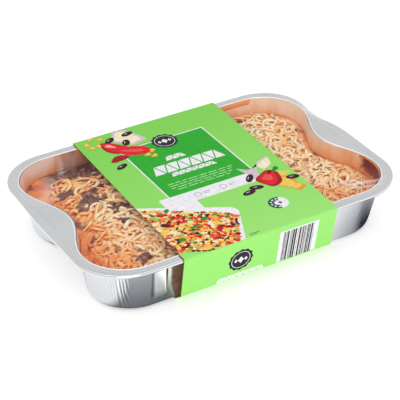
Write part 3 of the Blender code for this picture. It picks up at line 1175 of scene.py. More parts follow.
@dataclass
class Filling:
    """Beef and sauce filling with crumbs of mince where the cheese leaves it bare."""

    shape: FoodShape = field(default_factory=FoodShape)
    finish: FillingFinish = field(default_factory=FillingFinish)
    crumb_finish: MinceFinish = field(default_factory=MinceFinish)
    gap: float = 0.3 * MM
    foot_steps: int = 4
    top_rings: int = 76
    sauce_relief: float = 1.1 * MM
    meniscus: float = 1.6 * MM
    meat_relief: float = 1.6 * MM
    crumb_kinds: int = 7
    crumb_size: float = 3.0 * MM
    crumb_spacing: float = 4.0 * MM
    seed: int = 5

    def build_core(self) -> bpy.types.Object:
        """Build the filling's body with its uneven top.

        Returns:
            The core.
        """
        plan = self.shape.plan
        rings = []
        for step in range(self.foot_steps + 1):
            angle = math.pi / 2 * step / self.foot_steps
            ring = plan.opening(plan.taper + plan.foot_radius * (1 - math.sin(angle)) + self.gap)
            z = plan.floor + plan.foot_radius * (1 - math.cos(angle)) + self.gap
            rings.append(at_height(ring, z))
        edge = plan.opening(plan.wall_inset(self.shape.fill) + self.gap)
        count = len(edge)
        flat = np.vstack([edge * (1 - step / self.top_rings) for step in range(self.top_rings)]
                         + [np.zeros((1, 2))])
        spots = at_height(flat, 0.0)
        meat = self.shape.meat(flat)
        share = self.shape.share(flat)
        height = self.shape.top(flat) - 0.3 * MM
        height += self.sauce_relief * field_noise(spots, 6.5 * MM, 2.0, 3)
        height += self.meat_relief * meat * np.abs(field_noise(spots, 4 * MM, 9.0, 3))
        height = np.where(share > 0.985, self.shape.fill + 0.4 * MM, height)
        height += self.meniscus * smooth_step(share, 0.94, 1.0)
        points = np.vstack(rings + [at_height(flat, height)])
        faces = band_faces(len(rings) + self.top_rings, count)
        centre = len(points) - 1
        last = centre - count
        faces += [(last + step, centre, last + (step + 1) % count) for step in range(count)]
        mesh = make_mesh("beef_filling", points, faces)
        mend(mesh, cap=reversed(range(count)))
        below = np.zeros(len(rings) * count)
        # Painted shade: the bare strip at the far left is darkened with the meat's brown through the meat
        # attribute.
        painted_shade = self.shape.strip(flat) * smooth_step(flat[:, 0], -108 * MM, -90 * MM)
        store_floats(mesh, "meat", np.concatenate([below, np.maximum(meat, 0.7 * painted_shade)]))
        store_floats(mesh, "cheesy", np.concatenate([below, self.shape.cheese_cover(flat, share)]))
        return add_object("beef_filling", mesh)

    def crumb(self, rng: random.Random, index: int) -> bpy.types.Mesh:
        """Make one lump of mince.

        Args:
            rng: Seeded chance.
            index: Number of the lump.

        Returns:
            Its mesh.
        """
        bm = bmesh.new()
        bmesh.ops.create_icosphere(bm, subdivisions=2, radius=self.crumb_size)
        squash = Vector((rng.uniform(0.8, 1.5), rng.uniform(0.6, 1.0), rng.uniform(0.5, 0.8)))
        shift = Vector((index * 3.1, index * 1.7, 0.5))
        for vert in bm.verts:
            bump = 1 + 0.35 * noise.noise(vert.co / self.crumb_size * 1.6 + shift)
            vert.co = Vector(v * s * bump for v, s in zip(vert.co, squash))
        mesh = bpy.data.meshes.new(f"crumb_{index}")
        bm.to_mesh(mesh)
        bm.free()
        mesh.polygons.foreach_set("use_smooth", [True] * len(mesh.polygons))
        return mesh

    def build_crumbs(self, material: bpy.types.Material) -> bpy.types.Object:
        """Scatter the crumbs of mince over the bare patches.

        Args:
            material: Mince's material.

        Returns:
            The crumbs.
        """
        rng = random.Random(self.seed)
        crumbs = [self.crumb(rng, index) for index in range(self.crumb_kinds)]
        carrier = food_carrier(self.shape, lambda flat, share: self.shape.meat(flat) * (share < 0.93),
                               lambda flat: np.full(len(flat), 0.3))
        item = scatter("mince_crumbs", carrier, crumbs, {
            "Spacing": self.crumb_spacing, "Density": 90000.0, "Seed": self.seed, "Tilt": 0.5,
            "Smallest": 0.6, "Largest": 1.15, "Lowest": -1.4 * MM, "Highest": 0.3 * MM, "Finish": material})
        squeeze(item.data, self.shape)
        return item

    def build(self) -> None:
        """Build and dress the filling."""
        finish_piece(self.build_core(), Slot.FILLING, [self.finish.build()], "beef_bake")
        mince = self.crumb_finish.build()
        finish_piece(self.build_crumbs(mince), Slot.FILLING, [], "beef_bake")


def food_carrier(shape: FoodShape, cover: Callable[[Ring, Ring], Ring],
                 soak: Callable[[Ring], Ring], rings: int = 60) -> bpy.types.Mesh:
    """Surface that food is scattered on.

    Args:
        shape: Heights of the food.
        cover: Density from 0 to 1, from flat points and their share of the way out.
        soak: Tint from flat points.
        rings: Rings of points.

    Returns:
        The surface with its cover and soak attributes.
    """
    edge = shape.plan.opening(shape.inset() + 0.5 * MM)
    count = len(edge)
    flat = np.vstack([edge * max(1 - step / (rings - 1), 0.002) for step in range(rings)])
    points = at_height(flat, shape.top(flat))
    mesh = make_mesh("carrier", points, [tuple(reversed(face)) for face in band_faces(rings, count)])
    store_floats(mesh, "cover", np.clip(cover(flat, shape.share(flat)), 0, 1))
    store_floats(mesh, "soak", soak(flat))
    return mesh


def squeeze(mesh: bpy.types.Mesh, shape: FoodShape, start: float = 0.90, room: float = 0.075) -> None:
    """Push what would stick out through the wall back inside it.

    Args:
        mesh: Mesh to change.
        shape: Heights of the food.
        start: Share of the way out where the push starts.
        room: Share that it all ends in.
    """
    points = read_points(mesh)
    share = np.maximum(shape.plan.reach(points[:, :2], shape.inset()), 1e-6)
    inside = start + room * (1 - np.exp(-(share - start) / room))
    factor = np.where(share > start, inside / share, 1.0)
    points[:, :2] *= factor[:, None]
    move_points(mesh, points)


@dataclass
class GratedCheese:
    """Heap of grated cheese: bent shreds tangled over the filling in the two windows."""

    shape: FoodShape = field(default_factory=FoodShape)
    finish: CheeseFinish = field(default_factory=CheeseFinish)
    kinds: int = 36
    steps: int = 8
    sides: int = 6
    lengths: tuple[float, float] = (7 * MM, 18 * MM)
    curl_lengths: tuple[float, float] = (16 * MM, 27 * MM)
    widths: tuple[float, float] = (1.9 * MM, 4.2 * MM)
    thickness: float = 1.9 * MM
    arch: float = 2.4 * MM
    kink: float = 0.44
    spacing: float = 2.6 * MM
    density: float = 170000.0
    window: float = 54 * MM
    seed: int = 17

    def shred(self, rng: random.Random, index: int) -> bpy.types.Mesh:
        """Make one bent shred.

        Args:
            rng: Seeded chance.
            index: Number of the shred.

        Returns:
            Its mesh, with its middle at the origin.
        """
        curled = index % 3 == 0
        length = rng.uniform(*(self.curl_lengths if curled else self.lengths))
        width = rng.uniform(*self.widths) / 2
        turn = rng.uniform(2.8, 5.4) if curled else rng.uniform(0.2, 2.2)
        stride = length / self.steps
        heading = 0.0
        spot = Vector((0, 0, 0))
        path, headings = [spot.copy()], [heading]
        for step in range(self.steps):
            heading += turn / self.steps + rng.uniform(-self.kink, self.kink)
            spot = spot + Vector((math.cos(heading), math.sin(heading), 0)) * stride
            path.append(spot.copy())
            headings.append(heading)
        middle = sum(path, Vector()) / len(path)
        rise = rng.uniform(0.1, 1.0) * self.arch
        waves = rng.choice((1, 1, 2))
        roll = rng.uniform(-1.6, 1.6)
        points, sides = [], []
        for step, (spot, heading) in enumerate(zip(path, headings)):
            share = step / self.steps
            lift = rise * math.sin(math.pi * waves * share)
            taper = 0.5 + 0.5 * math.sin(math.pi * min(max(share, 0.04), 0.96)) ** 0.4
            taper *= rng.uniform(0.78, 1.15)
            across = Vector((-math.sin(heading), math.cos(heading), 0))
            for side in range(self.sides):
                angle = TURN * side / self.sides + roll * share
                out = across * (math.cos(angle) * width * taper)
                up = Vector((0, 0, math.sin(angle) * self.thickness / 2 * taper))
                points.append(spot - middle + out + up + Vector((0, 0, lift)))
                sides.append(0.5 - 0.5 * math.sin(angle))
        faces = []
        for step in range(self.steps):
            for side in range(self.sides):
                after = (side + 1) % self.sides
                low, high = step * self.sides, (step + 1) * self.sides
                faces.append((low + side, low + after, high + after, high + side))
        faces.append(tuple(reversed(range(self.sides))))
        faces.append(tuple(range(self.steps * self.sides, (self.steps + 1) * self.sides)))
        mesh = make_mesh(f"shred_{index}", np.array(points), faces)
        # side is 1 under a shred and 0 on its top; the cheese's colour uses it for sauce soak and painted
        # shade.
        store_floats(mesh, "side", sides)
        mend(mesh)
        return mesh

    def cover(self, flat: Ring, share: Ring) -> Ring:
        """Density of the shreds.

        Args:
            flat: Flat points.
            share: Their share of the way out.

        Returns:
            Numbers from 0 to 1.
        """
        window = np.abs(flat[:, 0]) > self.window
        thin = (1 - 0.93 * self.shape.meat(flat)) * (1 - 0.4 * self.shape.sauce(flat))
        return self.shape.cheese_cover(flat, share) * window * thin

    def soak(self, flat: Ring) -> Ring:
        """Tint of the shreds: pale on the right, sauce orange towards the left end.

        Args:
            flat: Flat points.

        Returns:
            Numbers around 0 to 1.
        """
        wall = smooth_step(self.shape.share(flat), 0.68, 0.95)
        left = smooth_step(-flat[:, 0], 60 * MM, 118 * MM)
        far = smooth_step(flat[:, 1], 0, 55 * MM) * (flat[:, 0] < 0)
        near = smooth_step(-flat[:, 1], 25 * MM, 70 * MM) * (flat[:, 0] > 0)
        saucy = smooth_step(-flat[:, 0], 84 * MM, 108 * MM) * smooth_step(-flat[:, 1], 2 * MM, 24 * MM)
        ends = 0.14 * left + (0.10 + 0.35 * left) * wall + 0.24 * far + 0.2 * near + 0.3 * saucy
        return 0.10 + ends + 0.30 * field_noise(at_height(flat, 0.0), 22 * MM, 3.3, 2)

    def build(self) -> None:
        """Build and dress the cheese."""
        material = self.finish.build()
        rng = random.Random(self.seed)
        shreds = [self.shred(rng, index) for index in range(self.kinds)]
        item = scatter("cheese_shreds", food_carrier(self.shape, self.cover, self.soak), shreds, {
            "Spacing": self.spacing, "Density": self.density, "Seed": self.seed, "Tilt": 0.2,
            "Smallest": 0.75, "Largest": 1.2, "Lowest": -1.9 * MM, "Highest": 1.2 * MM, "Finish": material})
        squeeze(item.data, self.shape)
        finish_piece(item, Slot.CHEESE, [], "grated_cheese")


@dataclass
class SauceSmears:
    """Thin layers on the inner wall: a dark red patch in the near right corner, orange sauce far right, and
    at both ends films that are partly sauce and partly painted reflection of the food, with painted shade
    near the sleeve on the left.
    """

    plan: TrayPlan = field(default_factory=TrayPlan)
    proud: float = 0.55 * MM
    rows: int = 14

    def patch(self, name: str, inside: Callable[[Ring], Ring], low: float, high: float, finish: SmearFinish,
              proud: float, feather: float, tone: Callable[[Ring, float], Ring]) -> bpy.types.Object:
        """Build a smear that follows the wall.

        Args:
            name: Name of the piece.
            inside: How fully it covers the wall there, from flat points of the opening.
            low: Lowest height.
            high: Highest height.
            finish: Its finish.
            proud: How far it stands off the wall.
            feather: Share of its height over which its lower edge fades.
            tone: Level of its colour, from flat points and the share of its height.

        Returns:
            The smear.
        """
        weight = inside(self.plan.opening(0.0))
        picked = np.flatnonzero(weight > 0.001)
        split = np.flatnonzero(np.diff(picked) > 1)
        if len(split):
            picked = np.concatenate([picked[split[0] + 1:], picked[:split[0] + 1]])
        points, fades, levels = [], [], []
        for row in range(self.rows):
            share = row / (self.rows - 1)
            z = low + (high - low) * share
            ring = self.plan.opening(self.plan.wall_inset(z) + proud)[picked]
            points.append(at_height(ring, z))
            fades.append(weight[picked] * smooth_step(share, -0.1, feather))
            levels.append(tone(ring, share))
        count = len(picked)
        faces = [(row * count + step, (row + 1) * count + step, (row + 1) * count + step + 1,
                  row * count + step + 1) for row in range(self.rows - 1) for step in range(count - 1)]
        mesh = make_mesh(name, np.vstack(points), faces)
        store_floats(mesh, "fade", np.concatenate(fades))
        store_floats(mesh, "level", np.concatenate(levels))
        item = add_object(name, mesh)
        item.data.materials.append(finish.build())
        return item

    def build(self) -> None:
        """Build and dress the smears."""
        corner = (lambda ring: smooth_step(ring[:, 0], 98 * MM, 104 * MM)
                  * smooth_step(-ring[:, 1], 38 * MM, 54 * MM))
        far = (lambda ring: smooth_step(ring[:, 0], 40 * MM, 50 * MM)
               * smooth_step(ring[:, 0], 99 * MM, 96 * MM) * (ring[:, 1] > 60 * MM))
        right = (lambda ring: smooth_step(ring[:, 0], 50 * MM, 58 * MM))
        left = (lambda ring: smooth_step(-ring[:, 0], 50 * MM, 58 * MM))
        rising = (lambda ring, share: np.full(len(ring), share))
        # Right wall film's tone: darker and more orange low down and towards the near side, partly sauce and
        # partly painted reflection.
        sauce_and_reflection_tone = (lambda ring, share: (0.42 + 0.5 * share)
                * (0.55 + 0.45 * smooth_step(ring[:, 1], -30 * MM, 40 * MM)))
        # Painted shade: the left wall film darkens towards the sleeve on the far side.
        painted_shade_tone = (lambda ring, share: (0.24 + 0.7 * share)
                  * (1 - 0.8 * smooth_step(ring[:, 0], -89 * MM, -75 * MM) * (ring[:, 1] > 0)))
        # Dark red patch high in the near right corner of the wall.
        dark = SmearFinish("dark_sauce", srgb(104, 10, 3), srgb(122, 20, 8), srgb(180, 74, 38), 0.99)
        orange = SmearFinish("orange_sauce", srgb(255, 172, 92), srgb(250, 150, 74), srgb(236, 128, 60), 0.98)
        # Right wall film: partly sauce, partly the food's reflection in the foil painted on.
        stain = SmearFinish("sauce_film", srgb(250, 220, 190), srgb(244, 180, 128), srgb(226, 124, 68), 0.92)
        # Left wall film: partly sauce, partly painted reflection, with a dark end for the painted shade near
        # the sleeve.
        painted_shade = SmearFinish("shaded_sauce_film", srgb(244, 216, 200), srgb(240, 160, 108),
                            srgb(112, 62, 48), 0.94)
        near, off = self.proud - 0.15 * MM, self.proud + 0.15 * MM
        for name, inside, low, high, finish, proud, feather, tone in (
                ("dark_sauce_smear", corner, 30.5, 42.4, dark, self.proud, 0.45, rising),
                ("orange_edge_smear", corner, 41.3, 42.8, orange, off, 0.4, rising),
                ("orange_sauce_smear", far, 38.4, 42.8, orange, self.proud, 0.4, rising),
                ("right_wall_film", right, 26.0, 42.75, stain, near, 0.05, sauce_and_reflection_tone),
                ("left_wall_film", left, 26.0, 42.75, painted_shade, near, 0.05, painted_shade_tone)):
            piece = self.patch(name, inside, low * MM, high * MM, finish, proud, feather, tone)
            finish_piece(piece, Slot.FILLING, [], "beef_bake")


@dataclass
class SealedFilm:
    """Clear film over the opening, sealed to the flange."""

    plan: TrayPlan = field(default_factory=TrayPlan)
    finish: FilmFinish = field(default_factory=FilmFinish)
    thickness: float = 0.06 * MM
    height: float = 0.42 * MM
    sag: float = 0.7 * MM
    wave: float = 0.10 * MM
    rings: int = 46
    # Each streak: start x and y, end x and y, width in millimetres and strength; partly film wrinkles, partly
    # painted reflection.
    streaks: tuple[tuple[float, ...], ...] = (
        (78, -70, 118, -80, 1.6, 1.0), (84, -76, 112, -86, 1.2, 0.9), (74, -64, 104, -70, 1.4, 0.6),
        (-79, 86, -95, 46, 1.3, 0.6), (-120, 20, -100, 60, 5.0, 0.4), (-84, 60, -70, 84, 4.0, 0.2))

    def haze(self, points: Ring) -> Ring:
        """Whitish streaks along wrinkles in the film: partly wrinkle cloudiness, partly painted reflection.

        Args:
            points: Points of the film.

        Returns:
            Numbers from 0 to 1.
        """
        total = np.zeros(len(points))
        for left, low, right, high, width, strength in self.streaks:
            start, along = np.array([left, low]) * MM, np.array([right - left, high - low]) * MM
            share = np.clip((points[:, :2] - start) @ along / (along @ along), 0, 1)
            away = np.linalg.norm(points[:, :2] - start - share[:, None] * along, axis=1)
            total += strength * np.exp(-(away / (width * MM)) ** 2) * np.sin(np.pi * share) ** 0.5
        return np.clip(total, 0, 1)

    def build(self) -> None:
        """Build and dress the film."""
        seal = [self.plan.flange(share, self.height) for share in (0.70, 0.45, 0.2, 0.0)]
        count = len(seal[0])
        edge = self.plan.opening(0.0)
        inner = []
        for step in range(1, self.rings):
            share = max(1 - step / (self.rings - 1), 0.002)
            flat = edge * share
            ripple = field_noise(at_height(flat * (1.0, 0.4), 0.0), 28 * MM, 1.1, 2)
            dip = smooth_step(1 - share, 0.0, 0.5) * smooth_step(np.abs(flat[:, 0]), 62 * MM, 85 * MM)
            z = self.plan.height + self.height - self.sag * dip - self.wave * (1 + ripple)
            inner.append(at_height(flat, z))
        rings = seal + inner
        faces = [tuple(reversed(face)) for face in band_faces(len(rings), count)]
        mesh = make_mesh("sealed_film", np.vstack(rings), faces)
        store_floats(mesh, "haze", self.haze(np.vstack(rings)))
        item = add_object("sealed_film", mesh)
        modifier = item.modifiers.new("Film", "SOLIDIFY")
        modifier.thickness = self.thickness
        modifier.offset = -1.0
        bake_modifiers(item)
        finish_piece(item, Slot.FILM, [self.finish.build()], "lidding_film")


def blob(centre: tuple[float, float], size: tuple[float, float], angle: float = 0.0,
         wobble: float = 0.0, lobes: int = 3, steps: int = 28) -> Outline:
    """Rounded outline.

    Args:
        centre: Its middle, in millimetres.
        size: Its half length and half width.
        angle: Turn in degrees.
        wobble: Depth of its lobes as a share of its size.
        lobes: Number of lobes.
        steps: Points round it.

    Returns:
        Points in millimetres.
    """
    turn = math.radians(angle)
    outline = []
    for step in range(steps):
        around = TURN * step / steps
        grow = 1 + wobble * math.cos(lobes * around + angle)
        u, v = size[0] * grow * math.cos(around), size[1] * grow * math.sin(around)
        outline.append((centre[0] + u * math.cos(turn) - v * math.sin(turn),
                        centre[1] + u * math.sin(turn) + v * math.cos(turn)))
    return outline


def box(left: float, right: float, low: float, high: float) -> Outline:
    """Rectangle in millimetres."""
    return [(left, low), (right, low), (right, high), (left, high)]


def rounded(outline: Outline, radius: float, steps: int = 8) -> Outline:
    """Round an outline's corners.

    Args:
        outline: Corners.
        radius: Distance from each corner where its curve starts.
        steps: Points a corner.

    Returns:
        The rounded outline.
    """
    points = []
    for index, corner in enumerate(outline):
        here = Vector(corner)
        before = (Vector(outline[index - 1]) - here).normalized() * radius
        after = (Vector(outline[(index + 1) % len(outline)]) - here).normalized() * radius
        for step in range(steps + 1):
            share = step / steps
            spot = here + before * (1 - share) ** 2 + after * share ** 2
            points.append((spot.x, spot.y))
    return points


def clipped(outline: Outline, axis: int, limit: float) -> Outline:
    """Cut an outline along a line.

    Args:
        outline: Outline to cut.
        axis: 0 for a limit in x and 1 for one in y.
        limit: Where the line is.

    Returns:
        The part past the limit.
    """
    kept = []
    for index, point in enumerate(outline):
        last = outline[index - 1]
        inside, was = [p[axis] >= limit for p in (point, last)]
        if inside != was:
            share = (limit - last[axis]) / (point[axis] - last[axis])
            kept.append(tuple(a + (b - a) * share for a, b in zip(last, point)))
        if inside:
            kept.append(point)
    return kept


@dataclass
class PrintSheet:
    """Flat printed shapes on one panel of the sleeve, in layers of ink."""

    origin: Vector
    across: Vector
    upward: Vector
    layer_height: float = 0.02 * MM
    shapes: list[tuple[Outline, Ink, float]] = field(default_factory=list)

    def add(self, outline: Outline, ink: Ink, layer: float) -> None:
        """Add a shape: its outline in millimetres on the panel, its colour and its layer of ink."""
        self.shapes.append((outline, ink, layer))

    def ring(self, centre: tuple[float, float], radius: float, width: float, ink: Ink, layer: int,
             start: float = 0.0, end: float = 360.0, steps: int = 40) -> None:
        """Add a ring or an arc.

        Args:
            centre: Its middle.
            radius: Outer radius.
            width: Width of the line.
            ink: Its colour.
            layer: Its layer.
            start: First angle in degrees.
            end: Last angle in degrees.
            steps: Pieces that it is made of.
        """
        for step in range(steps):
            angles = [math.radians(start + (end - start) * (step + more) / steps) for more in (0, 1)]
            outer = [(centre[0] + radius * math.cos(a), centre[1] + radius * math.sin(a)) for a in angles]
            inner = [(centre[0] + (radius - width) * math.cos(a), centre[1] + (radius - width) * math.sin(a))
                     for a in reversed(angles)]
            self.add(outer + inner, ink, layer)

    def place(self, u: float, v: float, layer: float) -> Vector:
        """Point in space of a point on the panel."""
        lift = self.across.cross(self.upward) * (layer * self.layer_height)
        return self.origin + self.across * (u * MM) + self.upward * (v * MM) + lift

    def build(self, name: str, materials: dict[Ink, bpy.types.Material]) -> bpy.types.Object:
        """Build the sheet.

        Args:
            name: Name of the piece.
            materials: Material of each ink.

        Returns:
            The printed shapes.
        """
        bm = bmesh.new()
        inks = [ink for ink in Ink if any(shape[1] is ink for shape in self.shapes)]
        normal = self.across.cross(self.upward)
        for outline, ink, layer in self.shapes:
            face = bm.faces.new([bm.verts.new(self.place(u, v, layer)) for u, v in outline])
            face.material_index = inks.index(ink)
            face.normal_update()
            if face.normal.dot(normal) < 0:
                face.normal_flip()
        bmesh.ops.triangulate(bm, faces=bm.faces)
        mesh = bpy.data.meshes.new(name)
        bm.to_mesh(mesh)
        bm.free()
        for ink in inks:
            mesh.materials.append(materials[ink])
        return add_object(name, mesh)


@dataclass
class DishPicture:
    """Printed dish of baked food: chips of colour scattered over a mosaic field."""

    origin: Vector
    spacing: float = 1.5 * MM
    kinds: int = 12
    seed: int = 23
    left: float = -64.95
    near: float = -95.35
    skew: float = 0.0244
    food: Outline = field(default_factory=lambda: [(-80, -12.4), (-4.6, -62.2), (-25.5, -104), (-100, -70)])
    dish: Outline = field(default_factory=lambda: [(-80, -9.8), (0.4, -56.2), (-21.5, -106), (-100, -60)])

    def outline(self, shape: Outline, radius: float, margin: float = 0.0) -> Outline:
        """Round an outline and cut it at the sleeve's edges.

        Args:
            shape: Its corners.
            radius: How much its corners are rounded.
            margin: Room left at the sleeve's edges.

        Returns:
            The cut outline.
        """
        whole = [(u - self.skew * v, v) for u, v in rounded(shape, radius)]
        cut = clipped(clipped(whole, 0, self.left + margin), 1, self.near + margin)
        return [(u + self.skew * v, v) for u, v in cut]

    def chip(self, rng: random.Random, index: int) -> bpy.types.Mesh:
        """Make one flat chip.

        Args:
            rng: Seeded chance.
            index: Number of the chip.

        Returns:
            Its mesh.
        """
        scale = 1.5 if index % 5 == 0 else 1.0
        size = (scale * rng.uniform(1.2, 2.4), scale * rng.uniform(1.0, 1.8))
        outline = blob((0, 0), size, 0, rng.uniform(0.05, 0.3), rng.choice((2, 3)), 11)
        points = [(u * MM, v * MM, 0) for u, v in outline]
        return make_mesh(f"chip_{index}", points, [range(len(points))], smooth=False)

    def build(self) -> bpy.types.Object:
        """Build the chips.

        Returns:
            The chips, above the mosaic field.
        """
        rng = random.Random(self.seed)
        chips = [self.chip(rng, index) for index in range(self.kinds)]
        outline = self.outline(self.food, 9.0, 0.6)
        points = [tuple(self.origin + Vector((u * MM, v * MM, 0.06 * MM))) for u, v in outline]
        carrier = make_mesh("dish_field", points, [range(len(points))], smooth=False)
        mend(carrier, split=True)
        store_floats(carrier, "cover", np.ones(len(points)))
        store_floats(carrier, "soak", np.full(len(points), 0.5))
        item = scatter("dish_chips", carrier, chips, {
            "Spacing": self.spacing, "Density": 700000.0, "Seed": self.seed, "Tilt": 0.0, "Smallest": 0.7,
            "Largest": 1.1, "Lowest": 0.0, "Highest": 0.06 * MM, "Finish": ChipFinish().build()})
        places = read_points(item.data)
        places[:, 1] = np.maximum(places[:, 1], self.origin.y + self.near * MM)
        edge = self.origin.x + self.left * MM + self.skew * places[:, 1]
        places[:, 0] = np.maximum(places[:, 0], edge)
        move_points(item.data, places)
        return item


@dataclass(frozen=True)
class ChipFinish:
    """Printed chips whose ink follows their tint attribute."""

    name: str = "print_chips"

    def build(self) -> bpy.types.Material:
        """Build the material."""
        graph = Surface(self.name)
        colours = graph.ramp(graph.spread(graph.attribute("tint"), 0.22, 0.78), (
            (0.00, Ink.YELLOW.value), (0.20, Ink.CREAM.value), (0.36, srgb(248, 176, 76)),
            (0.50, srgb(240, 112, 60)), (0.60, Ink.RED.value), (0.70, Ink.DEEP_RED.value),
            (0.78, Ink.BEAN.value), (0.89, Ink.LEAF.value), (0.95, srgb(140, 206, 92))), stepped=True)
        tone = graph.math("MULTIPLY", graph.uneven(700.0), 0.14)
        return graph.varnish(graph.mix(tone, colours, Ink.DEEP_RED.value))


@dataclass
class CardSleeve:
    """Printed card band: board, folds and the shapes printed on its panels."""

    length: float = 130.0 * MM
    skew: float = 0.0244
    card: float = 0.42 * MM
    print_room: float = 0.18 * MM
    top: tuple[float, float] = (95.55 * MM, 44.3 * MM)
    fold: tuple[float, float] = (88.0 * MM, 7.3 * MM)
    floor: tuple[float, float] = (78.45 * MM, 0.0)
    fold_radius: float = 0.9 * MM
    fold_steps: int = 6
    seed: int = 41

    def corners(self) -> list[Vector]:
        """Outer corners of the section, from +Y round the top of the near side to the floor."""
        room = self.print_room
        half = [Vector((self.top[0] - room, self.top[1] - room)),
                Vector((self.fold[0] - room, self.fold[1])), Vector(self.floor)]
        return half + [Vector((-corner.x, corner.y)) for corner in reversed(half)]

    def section(self) -> tuple[list[Vector], list[Vector]]:
        """Outer and inner lines of the section, with rounded folds.

        Returns:
            Points of the outer line and of the inner line.
        """
        corners = self.corners()
        outer, inner = [], []
        for index, here in enumerate(corners):
            before = (corners[index - 1] - here).normalized()
            after = (corners[(index + 1) % len(corners)] - here).normalized()
            half = before.angle(after) / 2
            middle = here + (before + after).normalized() * (self.fold_radius / math.sin(half))
            start = here + before * (self.fold_radius / math.tan(half)) - middle
            end = here + after * (self.fold_radius / math.tan(half)) - middle
            for step in range(self.fold_steps + 1):
                spoke = start.lerp(end, step / self.fold_steps).normalized() * self.fold_radius
                outer.append(middle + spoke)
                inner.append(middle + spoke * ((self.fold_radius - self.card) / self.fold_radius))
        return outer, inner

    def build_band(self) -> bpy.types.Object:
        """Build the card.

        Returns:
            The band, with printed, plain and cut faces.
        """
        outer, inner = self.section()
        half = self.length / 2
        count = len(outer)
        points = []
        for line in (outer, inner):
            for x in (-half, half):
                points += [(x + self.skew * spot.x, spot.x, spot.y) for spot in line]
        faces, kinds = [], []
        for step in range(count):
            after = (step + 1) % count
            quads = (
                (step, after, count + after, count + step),
                (2 * count + step, 3 * count + step, 3 * count + after, 2 * count + after),
                (step, 2 * count + step, 2 * count + after, after),
                (count + step, count + after, 3 * count + after, 3 * count + step))
            faces += quads
            kinds += [0, 1, 2, 2]
        mesh = make_mesh("sleeve_card", np.array(points), faces, smooth=False)
        mesh.polygons.foreach_set("material_index", kinds)
        mend(mesh)
        return add_object("sleeve_card", mesh)

    def top_sheet(self) -> PrintSheet:
        """Frame of the top panel: x along the tray and y across it."""
        return PrintSheet(Vector((0, 0, self.top[1] - self.print_room)), Vector((1, 0, 0)), Vector((0, 1, 0)))

    def near_sheet(self) -> PrintSheet:
        """Frame of the near panel: x along the tray and v up from the top fold."""
        corners = self.corners()
        upper, lower = corners[5], corners[4]
        slope = (upper - lower).normalized()
        return PrintSheet(Vector((0, upper.x, upper.y)), Vector((1, 0, 0)), Vector((0, slope.x, slope.y)))

    def print_seal(self, sheet: PrintSheet, centre: tuple[float, float], radius: float) -> None:
        """Dark scalloped seal with a plain ring and three diamonds.

        Args:
            sheet: Panel.
            centre: Its middle.
            radius: Its size.
        """
        sheet.add(blob(centre, (radius, radius), 0, 0.045, 12, 96), Ink.CHARCOAL, 3)
        sheet.ring(centre, radius * 0.80, 0.5, Ink.WHITE, 4)
        for place, size in ((-0.42, 0.15), (0.0, 0.26), (0.42, 0.15)):
            spot = (centre[0] + place * radius, centre[1])
            sheet.add(blob(spot, (size * radius, size * radius * 1.25), 0, 0, 3, 4), Ink.WHITE, 4)

    def print_row(self, sheet: PrintSheet, left: float, right: float, low: float, high: float,
                  count: int, layer: int = 3) -> None:
        """Band of alternating triangles.

        Args:
            sheet: Panel.
            left: Its left end.
            right: Its right end.
            low: Its lower side.
            high: Its upper side.
            count: Number of triangles.
            layer: Layer of ink.
        """
        pitch = (right - left) / count
        for index in range(count):
            tip = left + pitch * index + pitch / 2
            reach = pitch * 0.8
            base, peak = (high, low) if index % 2 else (low, high)
            sheet.add([(tip - reach, base), (tip + reach, base), (tip, peak)], Ink.WHITE, layer)

    def print_panel(self, sheet: PrintSheet) -> None:
        """Green panel with its white frame, its rows and its fine lines.

        Args:
            sheet: Top panel.
        """
        sheet.add(box(-37.5, 38.3, -32.0, 63.4), Ink.WHITE, 1)
        sheet.add(box(-36.4, 37.2, -18.2, 62.3), Ink.DEEP_GREEN, 2)
        self.print_row(sheet, -11.5, 4.5, 30.5, 36.5, 5)
        self.print_row(sheet, -29.0, 30.0, 14.0, 26.5, 11)
        self.print_row(sheet, -19.0, 19.0, 7.0, 12.0, 13)
        rng = random.Random(self.seed)
        for row in range(4):
            spot = -29.0 + 3.5 * (row == 3)
            while spot < 25.0 - 8.0 * (row == 3):
                end = spot + rng.uniform(3.0, 9.0)
                sheet.add(box(spot, min(end, 27.5), -2.4 - 3.1 * row, -1.4 - 3.1 * row), Ink.PALE_GREEN, 3)
                spot = end + 1.4
        for centre in (-16.0, 6.0, 31.0):
            sheet.ring((centre, -25.2), 3.0, 0.55, Ink.GREY, 2, steps=24)
            sheet.add(box(centre + 5.0, centre + 11.5, -24.6, -24.0), Ink.GREY, 2)
            sheet.add(box(centre + 5.0, centre + 9.5, -26.6, -26.0), Ink.GREY, 2)

